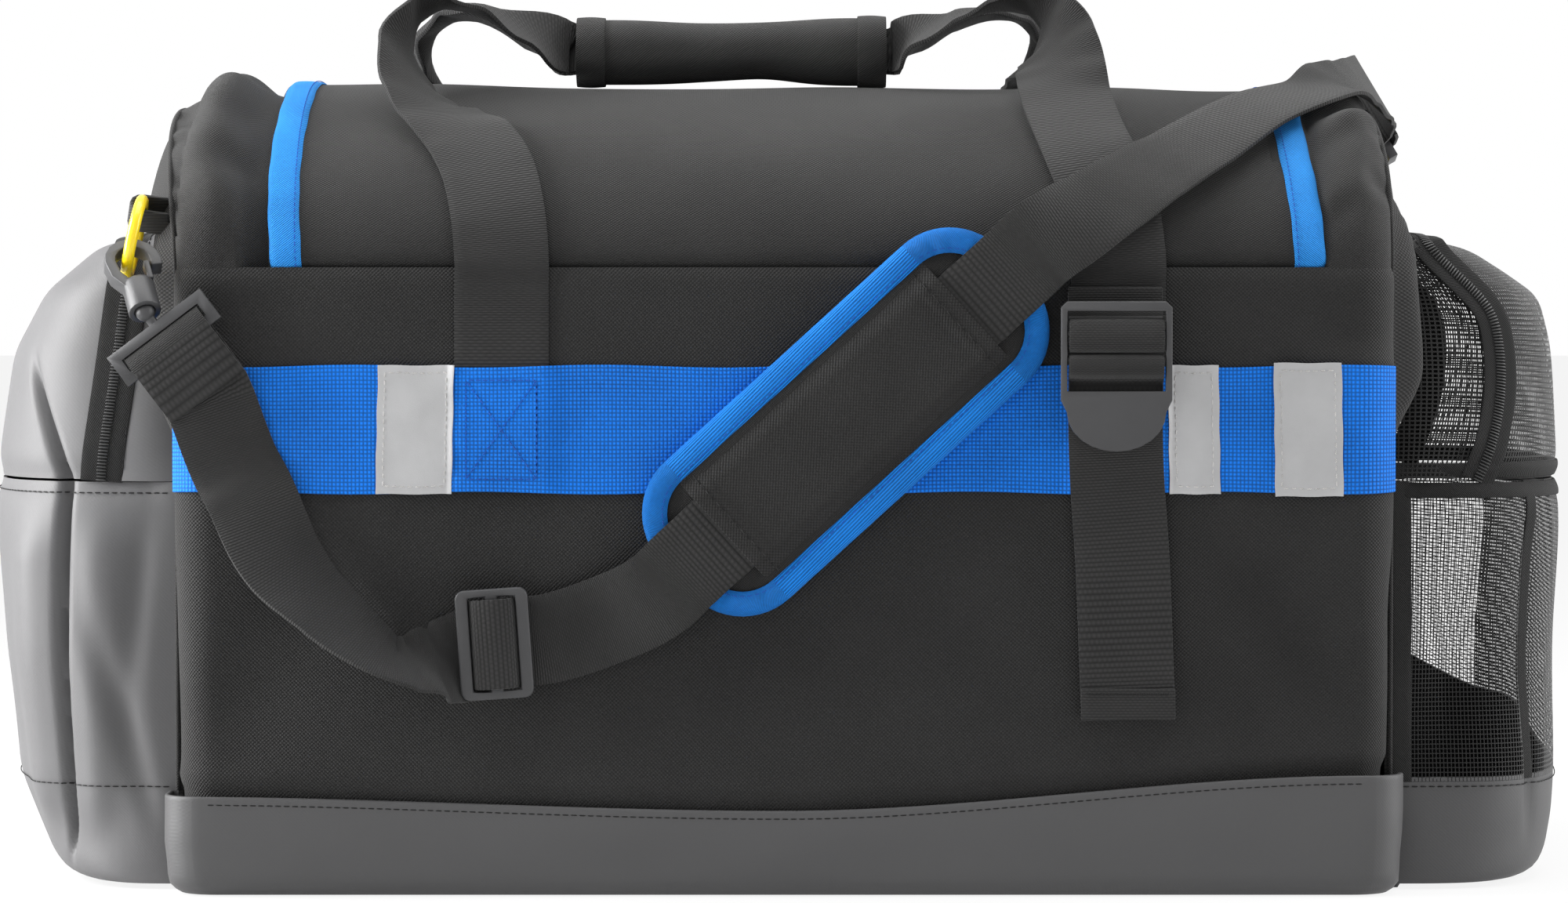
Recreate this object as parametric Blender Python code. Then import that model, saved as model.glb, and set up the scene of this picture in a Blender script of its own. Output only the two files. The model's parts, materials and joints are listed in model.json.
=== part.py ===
"""Gear duffel with a zipped lid, two end pockets, carry handles and a clip-on shoulder strap.

Every piece is its own object, in metres, +Z up. The origin lies under the middle of the base,
X runs along the bag and the front faces -Y.
"""
import math

import bmesh
import bpy
from mathutils import Matrix, Vector

# Clearances
SEAT = 0.0004            # between pieces that lie on one another
RUN = 0.0010             # round pieces that slide or turn

# Main shell
LENGTH = 0.520           # front panel between the end seams
DEPTH = 0.350
SEAM_Z = 0.266           # seam between the walls and the arched top
ARCH_RISE = 0.086
PANEL = 0.003
END_STEP = 0.004         # end walls stand out past the end seams
CAP_SWELL = 0.014        # end caps swell over the pockets
CAP_CREST = 0.004        # end caps stand above the lid
CAP_RISE = 0.010
CAP_LEVEL = 0.300        # caps swell above this height
BASE_HEIGHT = 0.042
BASE_SHEET = 0.003
BASE_CORNER = 0.012
BASE_EDGE = 0.002
STIFFENER = 0.004
ARCH_STEPS = 24

# Lid and its zip
LID_LENGTH = 0.448
LID_SHEET = 0.003
LID_EDGE_GAP = 0.0015    # lid's front edge above the hinge seam
LID_BACK_GAP = 0.012     # zip opening along the back
LID_OPEN_GAP = 0.003     # between the lid's ends and the caps
CAP_REACH = 0.020        # caps run in under the lid's ends
BINDING_WIDTH = 0.013
BINDING = 0.0012
ZIP_TAPE = 0.001
ZIP_WIDTH = 0.014
ZIP_BELOW = 0.008        # back tape reaches below the seam
SLIDER_LENGTH = 0.013
SLIDER_WIDTH = 0.009
SLIDER_HEIGHT = 0.005
PULL_LENGTH = 0.026
PULL_WIDTH = 0.007
PULL = 0.0018
LID_SLIDER_X = 0.085

# Bands and patches
BAND_BOTTOM = 0.172
BAND_HEIGHT = 0.054
BAND = 0.0016
BAND_END = 0.002
PATCH = 0.0006
PATCH_SPANS = {
    "patch_left": (-0.1730, -0.1407),
    "patch_mid": (0.1634, 0.1850),
    "patch_right": (0.2083, 0.2373),
}

# Carry handles and grip
HANDLE_WIDTH = 0.040
HANDLE = 0.002
HANDLE_LEFT_X = -0.120
HANDLE_RIGHT_X = 0.142
HANDLE_HINGE_GAP = 0.006
GATHER_WIDTH = 0.019     # webbing folded narrower in the grip
HANDLE_APART = 0.010
HANDLE_ON_LID = 0.0022
LOOP_DEGREES = (0, 12, 24, 36)          # stations where the webbing still follows the lid
LOOP_DRIFT = (-0.002, -0.012, 0.002)    # sideways drift of the left and right legs there
LOOP_LIFT = (0.010, 0.006)              # rise off the lid at the last of them
GRIP_LEAD = (0.008, 0.010, 0.001)       # webbing before, in and off the grip's ends
GRIP_LENGTH = 0.140
GRIP_X = -0.024
GRIP_DEPTH = 0.033
GRIP_HEIGHT = 0.030
GRIP_WALL = 0.003
GRIP_SPLIT = 96.0        # degrees from the back to the wrap's top edge
GRIP_SPLIT_GAP = 2.0
# Free loop past the lid: (along from the leg, depth, height from the grip's middle), facing, share of width
LOOP_LEFT = (
    ((-0.030, -0.088, -0.004), (-0.55, -0.45, 0.70), 0.95),
    ((-0.040, -0.058, 0.006), (-0.85, -0.35, 0.40), 0.80),
    ((-0.032, -0.034, 0.012), (-0.55, -0.55, 0.62), 0.70),
    ((-0.012, -0.020, 0.010), (-0.20, -0.80, 0.55), 0.65),
)
LOOP_RIGHT = (
    ((-0.052, -0.018, 0.010), (0.20, -0.80, 0.55), 0.65),
    ((-0.024, -0.034, 0.012), (0.45, -0.55, 0.70), 0.70),
    ((-0.006, -0.058, 0.004), (0.60, -0.50, 0.62), 0.85),
    ((0.002, -0.088, -0.008), (0.35, -0.60, 0.70), 0.95),
)

# End pockets
POCKET_HALF = 0.145
POCKET_NARROWING = 0.024
POCKET_REACH = 0.092
POCKET_TOP = 0.286
POCKET_FOOT = 0.002
POCKET_WALL = 0.002
POCKET_SQUARENESS = 3.2
POCKET_FOOT_ROUND = (0.020, 0.010)      # the foot's round edge, along and up
POCKET_BELLY_Z = (0.090, 0.150)         # the pocket fills out between these heights
POCKET_BELLY = 0.003
POCKET_NARROW_RISE = 0.120              # height over which it narrows, above the belly
POCKET_SHOULDER_IN = (0.003, 0.015, 0.045)
POCKET_SHOULDER_DROP = (0.055, 0.025, 0.006)
POCKET_SEAM_Z = 0.176    # seam between the pocket's lower half and its flap
POCKET_ZIP_LOW = 0.032   # zip's distance from the wall at the seam
POCKET_ZIP_HIGH = 0.019  # and at the top
MESH_BASE_Z = 0.050
POCKET_SLIDER_Y = 0.060

# Compression strap
STRAP_WIDTH = 0.040
STRAP = 0.0016
LOCK_X = 0.1405
LOCK_TOP_Z = 0.2535
LOCK_WIDTH = 0.047
LOCK_HEIGHT = 0.047
LOCK_THICK = 0.0045
LOCK_RAIL = 0.0026
LOCK_TOP_BAR = 0.004
LOCK_BAR = 0.0016        # radius of the webbing bars
LOCK_BAR_DROP = (0.0135, 0.0250)
LOCK_WINDOW = 0.034
LOCK_TAB = 0.0165
LOCK_STAND = 0.0140      # bar centres in front of the wall
TAIL_BOTTOM_Z = 0.076

# Shoulder strap hardware
RING_RADIUS = 0.0165
RING_WIRE = 0.0025
TAB_WIDTH = 0.012
TAB_ROOM = 0.0016
TAB_REACH = 0.0125
LEFT_RING_IN = 0.0305    # left tab behind the front edge
RIGHT_RING_IN = 0.025    # right tab before the back edge
RING_Z = 0.2915
BARREL_RADIUS = 0.007
BARREL_HEIGHT = 0.016
BALL_RADIUS = 0.0042
JAW_RADIUS = 0.0098
JAW_CENTRE = 0.027
JAW_BAR = 0.0046
JAW_THICK = 0.007
JAW_TIP = 0.0235
SHANK_SINK = 0.003       # shank starts inside the barrel
SHANK_IN = 0.0012
SHANK_RISE = 0.004
GATE_BAR = 0.0026
WIRE_SHIFT = 0.0024      # ring wire's place in the jaw, away from the gate
EYE_BAR = 0.0045
EYE_NECK = 0.004
EYE_DEPTH = 0.015

# Shoulder strap and pad
SHOULDER_WIDTH = 0.038
PAD_X = 0.0249
PAD_Z = 0.1986
PAD_ANGLE = 40.2
PAD_LENGTH = 0.196
PAD_WIDTH = 0.079
PAD_CORNER = 0.030
PAD = 0.007
PAD_BINDING = 0.009
SLEEVE_LENGTH = 0.150
SLEEVE_WIDTH = 0.056
SLEEVE = 0.0012
SLEEVE_ROOM = 0.003
GLIDE_X = -0.1228
GLIDE_Z = 0.1083
GLIDE_ANGLE = 4.0
GLIDE_LENGTH = 0.031
GLIDE_WIDTH = 0.047
GLIDE = 0.0035
GLIDE_SLOT = 0.0075
GLIDE_CORNER = 0.004
GLIDE_TAIL = 0.014       # webbing seen past the adjuster
FOLD_LEFT = 0.026        # sewn turn-back at the left eye
FOLD_RIGHT = 0.022
STRAP_BEFORE_PAD = 0.008
STRAP_PAST_PAD = 0.012
STRAP_SPLIT_EASE = (0.004, 0.010)
STRAP_ON_WALL = 0.005    # middle of the strap in front of the wall
CAP_TURN = 0.005         # strap's bend past the end wall
CAP_RUN = 0.045          # strap's straight pull out of the right eye
CAP_RUN_BACK = 0.030
CAP_RUN_RISE = 0.004

# Shoulder strap's route: (x, z) on the wall before and after the adjuster, and over the lid
WALL_ROUTE = ((-0.2320, 0.1820), (-0.2025, 0.1422), (-0.1770, 0.1200), (-0.1520, 0.1100))
GLIDE_ROUTE = ((-0.1000, 0.1103), (-0.0760, 0.1180))
LID_ROUTE_X = (0.141, 0.168, 0.195, 0.219, 0.238, 0.256)
LID_ROUTE_LIFT = (0.0085, 0.0070, 0.0065, 0.0080, 0.0120, 0.0150)
LID_ROUTE_DEGREES = (13, 23, 36, 49, 62, 76)

FRONT = -DEPTH / 2
WALL_X = LENGTH / 2 + END_STEP
LID_AXIS = Vector((0, FRONT - SEAT, SEAM_Z + LID_EDGE_GAP / 2))
FORWARD = Vector((0, -1, 0))
UP = Vector((0, 0, 1))
ALONG = Vector((1, 0, 0))


# Scene and materials


def clear_scene():
    """Remove every object of the open scene."""
    for item in list(bpy.data.objects):
        bpy.data.objects.remove(item, do_unlink=True)


def finish(name, colour, roughness, metallic=0.0):
    """A material with one colour, roughness and metallic value."""
    made = bpy.data.materials.new(name)
    made.use_nodes = True
    shader = made.node_tree.nodes["Principled BSDF"]
    shader.inputs["Base Color"].default_value = (*colour, 1)
    shader.inputs["Roughness"].default_value = roughness
    shader.inputs["Metallic"].default_value = metallic
    return made


def make_finishes():
    """Every material of the bag by name."""
    return {
        "woven": finish("woven", (0.035, 0.034, 0.034), 0.85),
        "coated": finish("coated", (0.11, 0.11, 0.115), 0.5),
        "webbing": finish("webbing", (0.040, 0.039, 0.039), 0.75),
        "blue": finish("blue", (0.018, 0.15, 0.70), 0.7),
        "silver": finish("silver", (0.38, 0.38, 0.38), 0.45),
        "mesh": finish("mesh", (0.03, 0.03, 0.03), 0.8),
        "moulded": finish("moulded", (0.045, 0.045, 0.047), 0.4),
        "yellow": finish("yellow", (1.0, 0.72, 0.0), 0.35),
        "zip": finish("zip", (0.025, 0.025, 0.025), 0.6),
        "metal": finish("metal", (0.05, 0.05, 0.05), 0.35, 1.0),
        "board": finish("board", (0.06, 0.06, 0.06), 0.7),
        "foam": finish("foam", (0.03, 0.03, 0.03), 0.9),
    }


# Solids


def piece(name, bm, material, pivot=(0, 0, 0)):
    """Turn a mesh in world places into an object whose origin is the pivot."""
    bmesh.ops.remove_doubles(bm, verts=bm.verts, dist=1e-6)
    bmesh.ops.recalc_face_normals(bm, faces=bm.faces)
    bmesh.ops.translate(bm, verts=bm.verts, vec=-Vector(pivot))
    mesh = bpy.data.meshes.new(name)
    bm.to_mesh(mesh)
    bm.free()
    mesh.materials.append(material)
    made = bpy.data.objects.new(name, mesh)
    made.location = pivot
    bpy.context.scene.collection.objects.link(made)
    return made


def combine(target, other, operation):
    """Cut, join or trim one object by another, which stays as a hidden guide."""
    other.hide_render = True
    other.display_type = "WIRE"
    step = target.modifiers.new(operation.lower(), "BOOLEAN")
    step.object = other
    step.operation = operation
    step.solver = "EXACT"


def slab(outer, inner, pointed=False):
    """A closed sheet between two grids of points; a pointed sheet ends in a single point."""
    bm = bmesh.new()
    top = [[bm.verts.new(p) for p in row] for row in outer]
    low = [[bm.verts.new(p) for p in row] for row in inner]
    rows, columns = len(top), len(top[0])
    for r in range(rows - 1):
        for c in range(columns - 1):
            bm.faces.new((top[r][c], top[r][c + 1], top[r + 1][c + 1], top[r + 1][c]))
            bm.faces.new((low[r + 1][c], low[r + 1][c + 1], low[r][c + 1], low[r][c]))
        for c in (0, columns - 1):
            bm.faces.new((top[r][c], top[r + 1][c], low[r + 1][c], low[r][c]))
    for r in (0,) if pointed else (0, rows - 1):
        for c in range(columns - 1):
            bm.faces.new((top[r][c], top[r][c + 1], low[r][c + 1], low[r][c]))
    return bm


def tube(rings, closed=False):
    """A solid through a row of rings of points; an open one has flat ends."""
    bm = bmesh.new()
    made = [[bm.verts.new(p) for p in ring] for ring in rings]
    sides = len(made[0])
    pairs = list(zip(made, made[1:]))
    if closed:
        pairs.append((made[-1], made[0]))
    for near, far in pairs:
        for k in range(sides):
            bm.faces.new((near[k], near[(k + 1) % sides], far[(k + 1) % sides], far[k]))
    if not closed:
        bm.faces.new(reversed(made[0]))
        bm.faces.new(made[-1])
    return bm


def box(low, high):
    """A block between two corners."""
    (x0, y0, z0), (x1, y1, z1) = low, high
    base = [(x0, y0), (x1, y0), (x1, y1), (x0, y1)]
    return tube([[Vector((x, y, z)) for x, y in base] for z in (z0, z1)])


def prism(outline, place, depth):
    """An outline in the place's XY plane, raised along its Z."""
    return tube([[place @ Vector((x, y, z)) for x, y in outline] for z in (0, depth)])


def turned(profile, place, sides=16):
    """A profile of (radius, height) points, from axis to axis, turned round the place's Z."""
    bm = bmesh.new()
    rows = []
    for radius, height in profile:
        angles = [2 * math.pi * k / sides for k in range(sides)]
        points = [Vector((radius * math.cos(a), radius * math.sin(a), height)) for a in angles]
        rows.append([bm.verts.new(place @ p) for p in points])
    for near, far in zip(rows, rows[1:]):
        for k in range(sides):
            bm.faces.new((near[k], near[(k + 1) % sides], far[(k + 1) % sides], far[k]))
    return bm


def rounded(length, width, radius, steps=5):
    """Outline of a rectangle with round corners, about its centre."""
    points = []
    for corner in range(4):
        sx = (1, -1, -1, 1)[corner]
        sy = (1, 1, -1, -1)[corner]
        for k in range(steps + 1):
            angle = math.pi / 2 * (corner + k / steps)
            x = sx * (length / 2 - radius) + radius * math.cos(angle)
            y = sy * (width / 2 - radius) + radius * math.sin(angle)
            points.append((x, y))
    return points


def frame_of(origin, z_axis, y_hint):
    """A place with a given Z, and its Y as near the hint as it can be."""
    z = Vector(z_axis).normalized()
    y = (Vector(y_hint) - z * z.dot(Vector(y_hint))).normalized()
    x = y.cross(z)
    return Matrix.Translation(origin) @ Matrix((x, y, z)).transposed().to_4x4()


def smooth(stations, per=3):
    """A smooth curve through (point, normal, width) stations."""
    points = [Vector(s[0]) for s in stations]
    normals = [Vector(s[1]).normalized() for s in stations]
    widths = [s[2] for s in stations]
    ends = [2 * points[0] - points[1]] + points + [2 * points[-1] - points[-2]]
    made = []
    for k in range(len(points) - 1):
        a, b, c, d = ends[k : k + 4]
        for step in range(per):
            t = step / per
            place = 0.5 * (2 * b + (c - a) * t + (2 * a - 5 * b + 4 * c - d) * t**2
                           + (3 * b - a - 3 * c + d) * t**3)
            made.append((place, normals[k].lerp(normals[k + 1], t).normalized(),
                         widths[k] + (widths[k + 1] - widths[k]) * t))
    made.append((points[-1], normals[-1], widths[-1]))
    return made


def ribbon(stations, thickness):
    """Flat webbing along (point, normal, width) stations."""
    outer, inner = [], []
    for k, (point, normal, width) in enumerate(stations):
        before = stations[max(k - 1, 0)][0]
        after = stations[min(k + 1, len(stations) - 1)][0]
        across = (after - before).cross(normal).normalized()
        face = across.cross(after - before).normalized()
        edges = [point - across * width / 2, point + across * width / 2]
        outer.append([edge + face * thickness / 2 for edge in edges])
        inner.append([edge - face * thickness / 2 for edge in edges])
    return slab(outer, inner)


def trim(bm, point, normal):
    """Keep the part of a solid behind a plane, and close the cut."""
    everything = list(bm.verts) + list(bm.edges) + list(bm.faces)
    cut = bmesh.ops.bisect_plane(bm, geom=everything, plane_co=point, plane_no=normal, clear_outer=True)
    edges = [e for e in cut["geom_cut"] if isinstance(e, bmesh.types.BMEdge)]
    bmesh.ops.triangle_fill(bm, edges=edges, use_beauty=True)
    return bm


def ease(value):
    """A soft step from 0 to 1."""
    value = min(max(value, 0.0), 1.0)
    return value * value * (3 - 2 * value)


# Shell of the bag


def arch(turn, out=0.0):
    """A point over the bag's section: turn 0 is the front seam and pi the back one."""
    return Vector((0, -(DEPTH / 2 + out) * math.cos(turn), SEAM_Z + (ARCH_RISE + out) * math.sin(turn)))


def arch_normal(turn):
    """The way that the arch faces."""
    return Vector((0, -math.cos(turn) * ARCH_RISE, math.sin(turn) * DEPTH / 2)).normalized()


def make_base(finishes):
    """The coated tray and the board that keeps it flat."""
    length = 2 * WALL_X

    def ring(inset, z):
        outline = rounded(length - 2 * inset, DEPTH - 2 * inset, BASE_CORNER - inset)
        return [Vector((x, y, z)) for x, y in outline]

    rings = [ring(BASE_EDGE, 0), ring(0, BASE_EDGE), ring(0, BASE_HEIGHT), ring(BASE_SHEET, BASE_HEIGHT),
             ring(BASE_SHEET, BASE_SHEET)]
    piece("base_panel", tube(rings), finishes["coated"])
    inset = BASE_SHEET + RUN
    board = rounded(length - 2 * inset, DEPTH - 2 * inset, BASE_CORNER - inset)
    floor = Matrix.Translation((0, 0, BASE_SHEET + SEAT))
    piece("base_stiffener", prism(board, floor, STIFFENER), finishes["board"])


def make_walls(finishes):
    """The flat front and back panels."""
    low, high = BASE_HEIGHT + SEAT, SEAM_Z - SEAT
    for name, y0, y1 in (("front_panel", FRONT, FRONT + PANEL), ("back_panel", -FRONT - PANEL, -FRONT)):
        piece(name, box((-LENGTH / 2, y0, low), (LENGTH / 2, y1, high)), finishes["woven"])


def end_outline(side_inset, arch_inset):
    """Front, arch and back of an end panel's section, as (y, z)."""
    reach = DEPTH / 2 - side_inset
    heights = [BASE_HEIGHT + SEAT, (BASE_HEIGHT + SEAM_Z) / 2, SEAM_Z]
    front = [(-reach, z) for z in heights]
    over = [arch(math.pi * k / ARCH_STEPS, -arch_inset) for k in range(1, ARCH_STEPS)]
    return front + [(p.y, p.z) for p in over] + [(reach, z) for z in reversed(heights)]


def end_row(side, x, side_inset, arch_inset):
    """A row of an end panel at one place along the bag."""
    return [Vector((side * x, y, z)) for y, z in end_outline(side_inset, arch_inset)]


def dome_row(side, scale, out, level, puff):
    """A row of the end wall, drawn in towards the middle of its foot and held under a level."""
    foot = BASE_HEIGHT + SEAT
    row = []
    for y, z in end_outline(0, -CAP_CREST / 2):
        y, z = y * scale, min(foot + (z - foot) * scale, level)
        swell = CAP_SWELL * puff * (1 - (2 * y / DEPTH) ** 2) * ease((z - CAP_LEVEL) / (2 * CAP_SWELL))
        row.append(Vector((side * (LENGTH / 2 + out + swell), y, z)))
    return row


def make_end_panel(name, side, finishes):
    """An end wall with its arched cap and the edge that runs in under the lid."""
    tuck = LID_SHEET + ZIP_TAPE + 2 * SEAT
    edge = LID_LENGTH / 2 - CAP_REACH
    lip = LID_LENGTH / 2 + LID_OPEN_GAP
    side_in = PANEL + SEAT
    seam = LENGTH / 2
    outer = [end_row(side, edge, tuck, tuck), end_row(side, lip, tuck, tuck),
             end_row(side, lip + CAP_RISE, side_in, 0), end_row(side, seam - CAP_RISE, side_in, -CAP_CREST),
             end_row(side, seam + SEAT, side_in, -CAP_CREST), end_row(side, seam + 2 * SEAT, 0, -CAP_CREST / 2)]
    thick = side_in + PANEL
    inner = [end_row(side, edge, tuck + PANEL, tuck + PANEL), end_row(side, lip, tuck + PANEL, tuck + PANEL),
             end_row(side, lip + CAP_RISE, thick, PANEL),
             end_row(side, seam - CAP_RISE, thick, PANEL - CAP_CREST),
             end_row(side, seam - PANEL, thick, PANEL), end_row(side, seam + SEAT, thick, 2 * PANEL)]
    top = SEAM_Z + ARCH_RISE + CAP_CREST
    swollen = CAP_LEVEL + CAP_SWELL
    for scale, inner_scale, share, level, puff in (
        (0.985, 0.955, 0.8, top, 0.3), (0.94, 0.925, 1, top, 0.7), (0.93, 0.915, 1, swollen, 1),
        (0.92, 0.905, 1, CAP_LEVEL, 0), (0.60, 0.60, 1, top, 0), (0, 0, 1, top, 0),
    ):
        outer.append(dome_row(side, scale, END_STEP * share, level, puff))
        inner.append(dome_row(side, inner_scale, END_STEP * share - PANEL, level, puff))
    piece(name, slab(outer, inner, pointed=True), finishes["woven"])


def lid_turns(last):
    """Turns over the arch from the lid's front edge, at the same steps as the caps."""
    first = math.asin(LID_EDGE_GAP / ARCH_RISE)
    steps = [math.pi * k / ARCH_STEPS for k in range(ARCH_STEPS)]
    return [first] + [t for t in steps if first < t < last] + [last]


def make_lid(finishes):
    """The arched lid with its bound ends, hinged along the front seam."""
    last = math.pi - math.asin(LID_BACK_GAP / ARCH_RISE)
    turns = lid_turns(last)
    xs = (-LID_LENGTH / 2, LID_LENGTH / 2)
    outer = [[arch(t) + ALONG * x for x in xs] for t in turns]
    inner = [[arch(t, -LID_SHEET) + ALONG * x for x in xs] for t in turns]
    piece("lid_panel", slab(outer, inner), finishes["woven"], LID_AXIS)
    for name, side in (("lid_binding_left", -1), ("lid_binding_right", 1)):
        x = side * (LID_LENGTH - BINDING_WIDTH) / 2
        path = [(arch(t, SEAT + BINDING / 2) + ALONG * x, arch_normal(t), BINDING_WIDTH) for t in turns]
        piece(name, ribbon(path, BINDING), finishes["blue"], LID_AXIS)


def make_lid_zip(finishes):
    """The zip tape under the lid's ends and along its back, with its slider and pull."""
    depth = -(LID_SHEET + SEAT + ZIP_TAPE / 2)
    turns = lid_turns(math.pi)
    x = LID_LENGTH / 2 - ZIP_WIDTH / 2 - SEAT
    foot = SEAM_Z - ZIP_BELOW
    arms = []
    for side in (-1, 1):
        path = [(arch(t, depth) + ALONG * side * x, arch_normal(t), ZIP_WIDTH) for t in turns]
        drop = arch(math.pi, depth)
        path.append((Vector((side * x, drop.y, foot)), -FORWARD, ZIP_WIDTH))
        arms.append(ribbon(path, ZIP_TAPE))
    face = -FRONT - LID_SHEET - SEAT
    top = SEAM_Z + LID_BACK_GAP - 2 * SEAT
    tape = piece("lid_zip_tape", box((-x, face - ZIP_TAPE, foot), (x, face, top)), finishes["zip"])
    for number, arm in enumerate(arms):
        combine(tape, piece(f"zip_arm_guide_{number}", arm, finishes["zip"]), "UNION")

    z = SEAM_Z + LID_BACK_GAP / 2
    seat = face + SEAT
    nose = seat + SLIDER_HEIGHT
    body = box((LID_SLIDER_X - SLIDER_LENGTH / 2, seat, z - SLIDER_WIDTH / 2),
               (LID_SLIDER_X + SLIDER_LENGTH / 2, nose, z + SLIDER_WIDTH / 2))
    place = (LID_SLIDER_X, seat, z)
    slider = piece("lid_zip_slider", body, finishes["metal"], place)
    bevel_edges(slider, SLIDER_HEIGHT / 5)
    make_pull("lid_zip_pull", frame_of((LID_SLIDER_X, nose + SEAT, z), -FORWARD, UP), finishes)


def bevel_edges(target, width):
    """Break an object's edges."""
    step = target.modifiers.new("edges", "BEVEL")
    step.width = width
    step.segments = 2
    step.limit_method = "ANGLE"


def make_pull(name, place, finishes):
    """A zip pull that lies along its place's X, hinged across it at its head."""
    outline = rounded(PULL_LENGTH, PULL_WIDTH, PULL_WIDTH * 0.45)
    moved = [(x + PULL_LENGTH / 2, y) for x, y in outline]
    piece(name, prism(moved, place, PULL), finishes["metal"], place.translation)


# Bands, patches and handles


def make_bands(finishes):
    """The webbing band along the front and back, and the patches on it."""
    half = LENGTH / 2 - BAND_END
    high = BAND_BOTTOM + BAND_HEIGHT
    near, far = FRONT - SEAT - BAND, FRONT - SEAT
    piece("front_band", box((-half, near, BAND_BOTTOM), (half, far, high)), finishes["blue"])
    piece("rear_band", box((-half, -far, BAND_BOTTOM), (half, -near, high)), finishes["blue"])
    for name, (x0, x1) in PATCH_SPANS.items():
        low = (x0, near - SEAT - PATCH, BAND_BOTTOM)
        piece(name, box(low, (x1, near - SEAT, high)), finishes["silver"])


def leg_face():
    """How far the handle webbing's middle stands in front of the wall."""
    return SEAT + HANDLE / 2


def handle_path(back):
    """Stations of a handle's free loop, from its left leg to its right leg."""
    grip_z = SEAM_Z + ARCH_RISE + SEAT + GRIP_HEIGHT / 2
    grip_left = GRIP_X - GRIP_LENGTH / 2
    grip_right = GRIP_X + GRIP_LENGTH / 2
    in_grip = -HANDLE_APART / 2
    start = math.asin((HANDLE_HINGE_GAP + LID_EDGE_GAP) / ARCH_RISE)
    foot = leg_face()
    left, right = HANDLE_LEFT_X, HANDLE_RIGHT_X
    left_drift, left_last, right_last = LOOP_DRIFT
    left_lift, right_lift = LOOP_LIFT
    before, inside, off = GRIP_LEAD

    def on_lid(x, step, out):
        turn = start + math.radians(LOOP_DEGREES[step])
        return (arch(turn, out) + ALONG * x, arch_normal(turn), HANDLE_WIDTH)

    def free(leg, station):
        (x, y, z), facing, share = station
        return ((leg + x, y, grip_z + z), facing, HANDLE_WIDTH * share)

    def gathered(x, out=0.0):
        return ((x, in_grip - out, grip_z + out), FORWARD, GATHER_WIDTH)

    stations = [
        on_lid(left, 0, foot), on_lid(left, 1, HANDLE_ON_LID), on_lid(left + left_drift, 2, HANDLE_ON_LID),
        on_lid(left + left_last, 3, HANDLE_ON_LID + left_lift),
        *[free(left, station) for station in LOOP_LEFT],
        gathered(grip_left - before, off), gathered(grip_left + inside),
        gathered(grip_right - inside), gathered(grip_right + before, off),
        *[free(right, station) for station in LOOP_RIGHT],
        on_lid(right + right_last, 3, HANDLE_ON_LID + right_lift), on_lid(right, 2, HANDLE_ON_LID),
        on_lid(right, 1, HANDLE_ON_LID), on_lid(right, 0, foot),
    ]
    if not back:
        return stations
    flip = Matrix.Scale(-1, 3, (0, 1, 0))
    return [(flip @ Vector(p), flip @ Vector(n), w) for p, n, w in stations]


def make_handles(finishes):
    """Both carry handles: legs sewn in over the bands and a free loop over the lid."""
    low_z = BAND_BOTTOM + BAND_HEIGHT + SEAT
    high = SEAM_Z - HANDLE_HINGE_GAP + LID_EDGE_GAP
    middle = leg_face()
    for name, back in (("front_handle", False), ("rear_handle", True)):
        side = 1 if back else -1
        faces = sorted(side * (DEPTH / 2 + middle + d) for d in (-HANDLE / 2, HANDLE / 2))
        for end, x in (("left", HANDLE_LEFT_X), ("right", HANDLE_RIGHT_X)):
            low = (x - HANDLE_WIDTH / 2, faces[0], low_z)
            leg = box(low, (x + HANDLE_WIDTH / 2, faces[1], high))
            piece(f"{name}_{end}_leg", leg, finishes["webbing"])
        axis = rear_handle_axis() if back else LID_AXIS
        piece(f"{name}_loop", ribbon(smooth(handle_path(back), 2), HANDLE), finishes["webbing"], axis)


def rear_handle_axis():
    """A point on the line that the rear handle falls back about."""
    return Vector((0, DEPTH / 2 + leg_face() + HANDLE / 2 + SEAT, LID_AXIS.z))


def grip_shell(first, last):
    """Part of the padded tube round both handles, between two angles in degrees from the back."""
    centre = Vector((0, 0, SEAM_Z + ARCH_RISE + SEAT + GRIP_HEIGHT / 2))
    steps = 8

    def rim(x, inset):
        row = []
        for k in range(steps + 1):
            angle = math.radians(first + (last - first) * k / steps)
            c, s = math.cos(angle), math.sin(angle)
            squared = (abs(c) ** 3 + abs(s) ** 3) ** (-1 / 3)
            y = (GRIP_DEPTH / 2 - inset) * c * squared
            z = (GRIP_HEIGHT / 2 - inset) * s * squared
            row.append(centre + Vector((x, y, z)))
        return row

    xs = (GRIP_X - GRIP_LENGTH / 2, GRIP_X + GRIP_LENGTH / 2)
    return slab([rim(x, 0) for x in xs], [rim(x, GRIP_WALL) for x in xs])


def make_grip(finishes):
    """The wrap that is sewn to the front handle, and the half that opens off the rear one."""
    gap = GRIP_SPLIT_GAP / 2
    piece("grip_wrap", grip_shell(GRIP_SPLIT + gap, GRIP_SPLIT + 180 - gap), finishes["woven"], LID_AXIS)
    axis = (0, GRIP_DEPTH / 2 * math.cos(math.radians(GRIP_SPLIT)), SEAM_Z + ARCH_RISE + SEAT + GRIP_HEIGHT)
    piece("grip_flap", grip_shell(GRIP_SPLIT - 180 + gap, GRIP_SPLIT - gap), finishes["woven"], axis)


# End pockets


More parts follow.
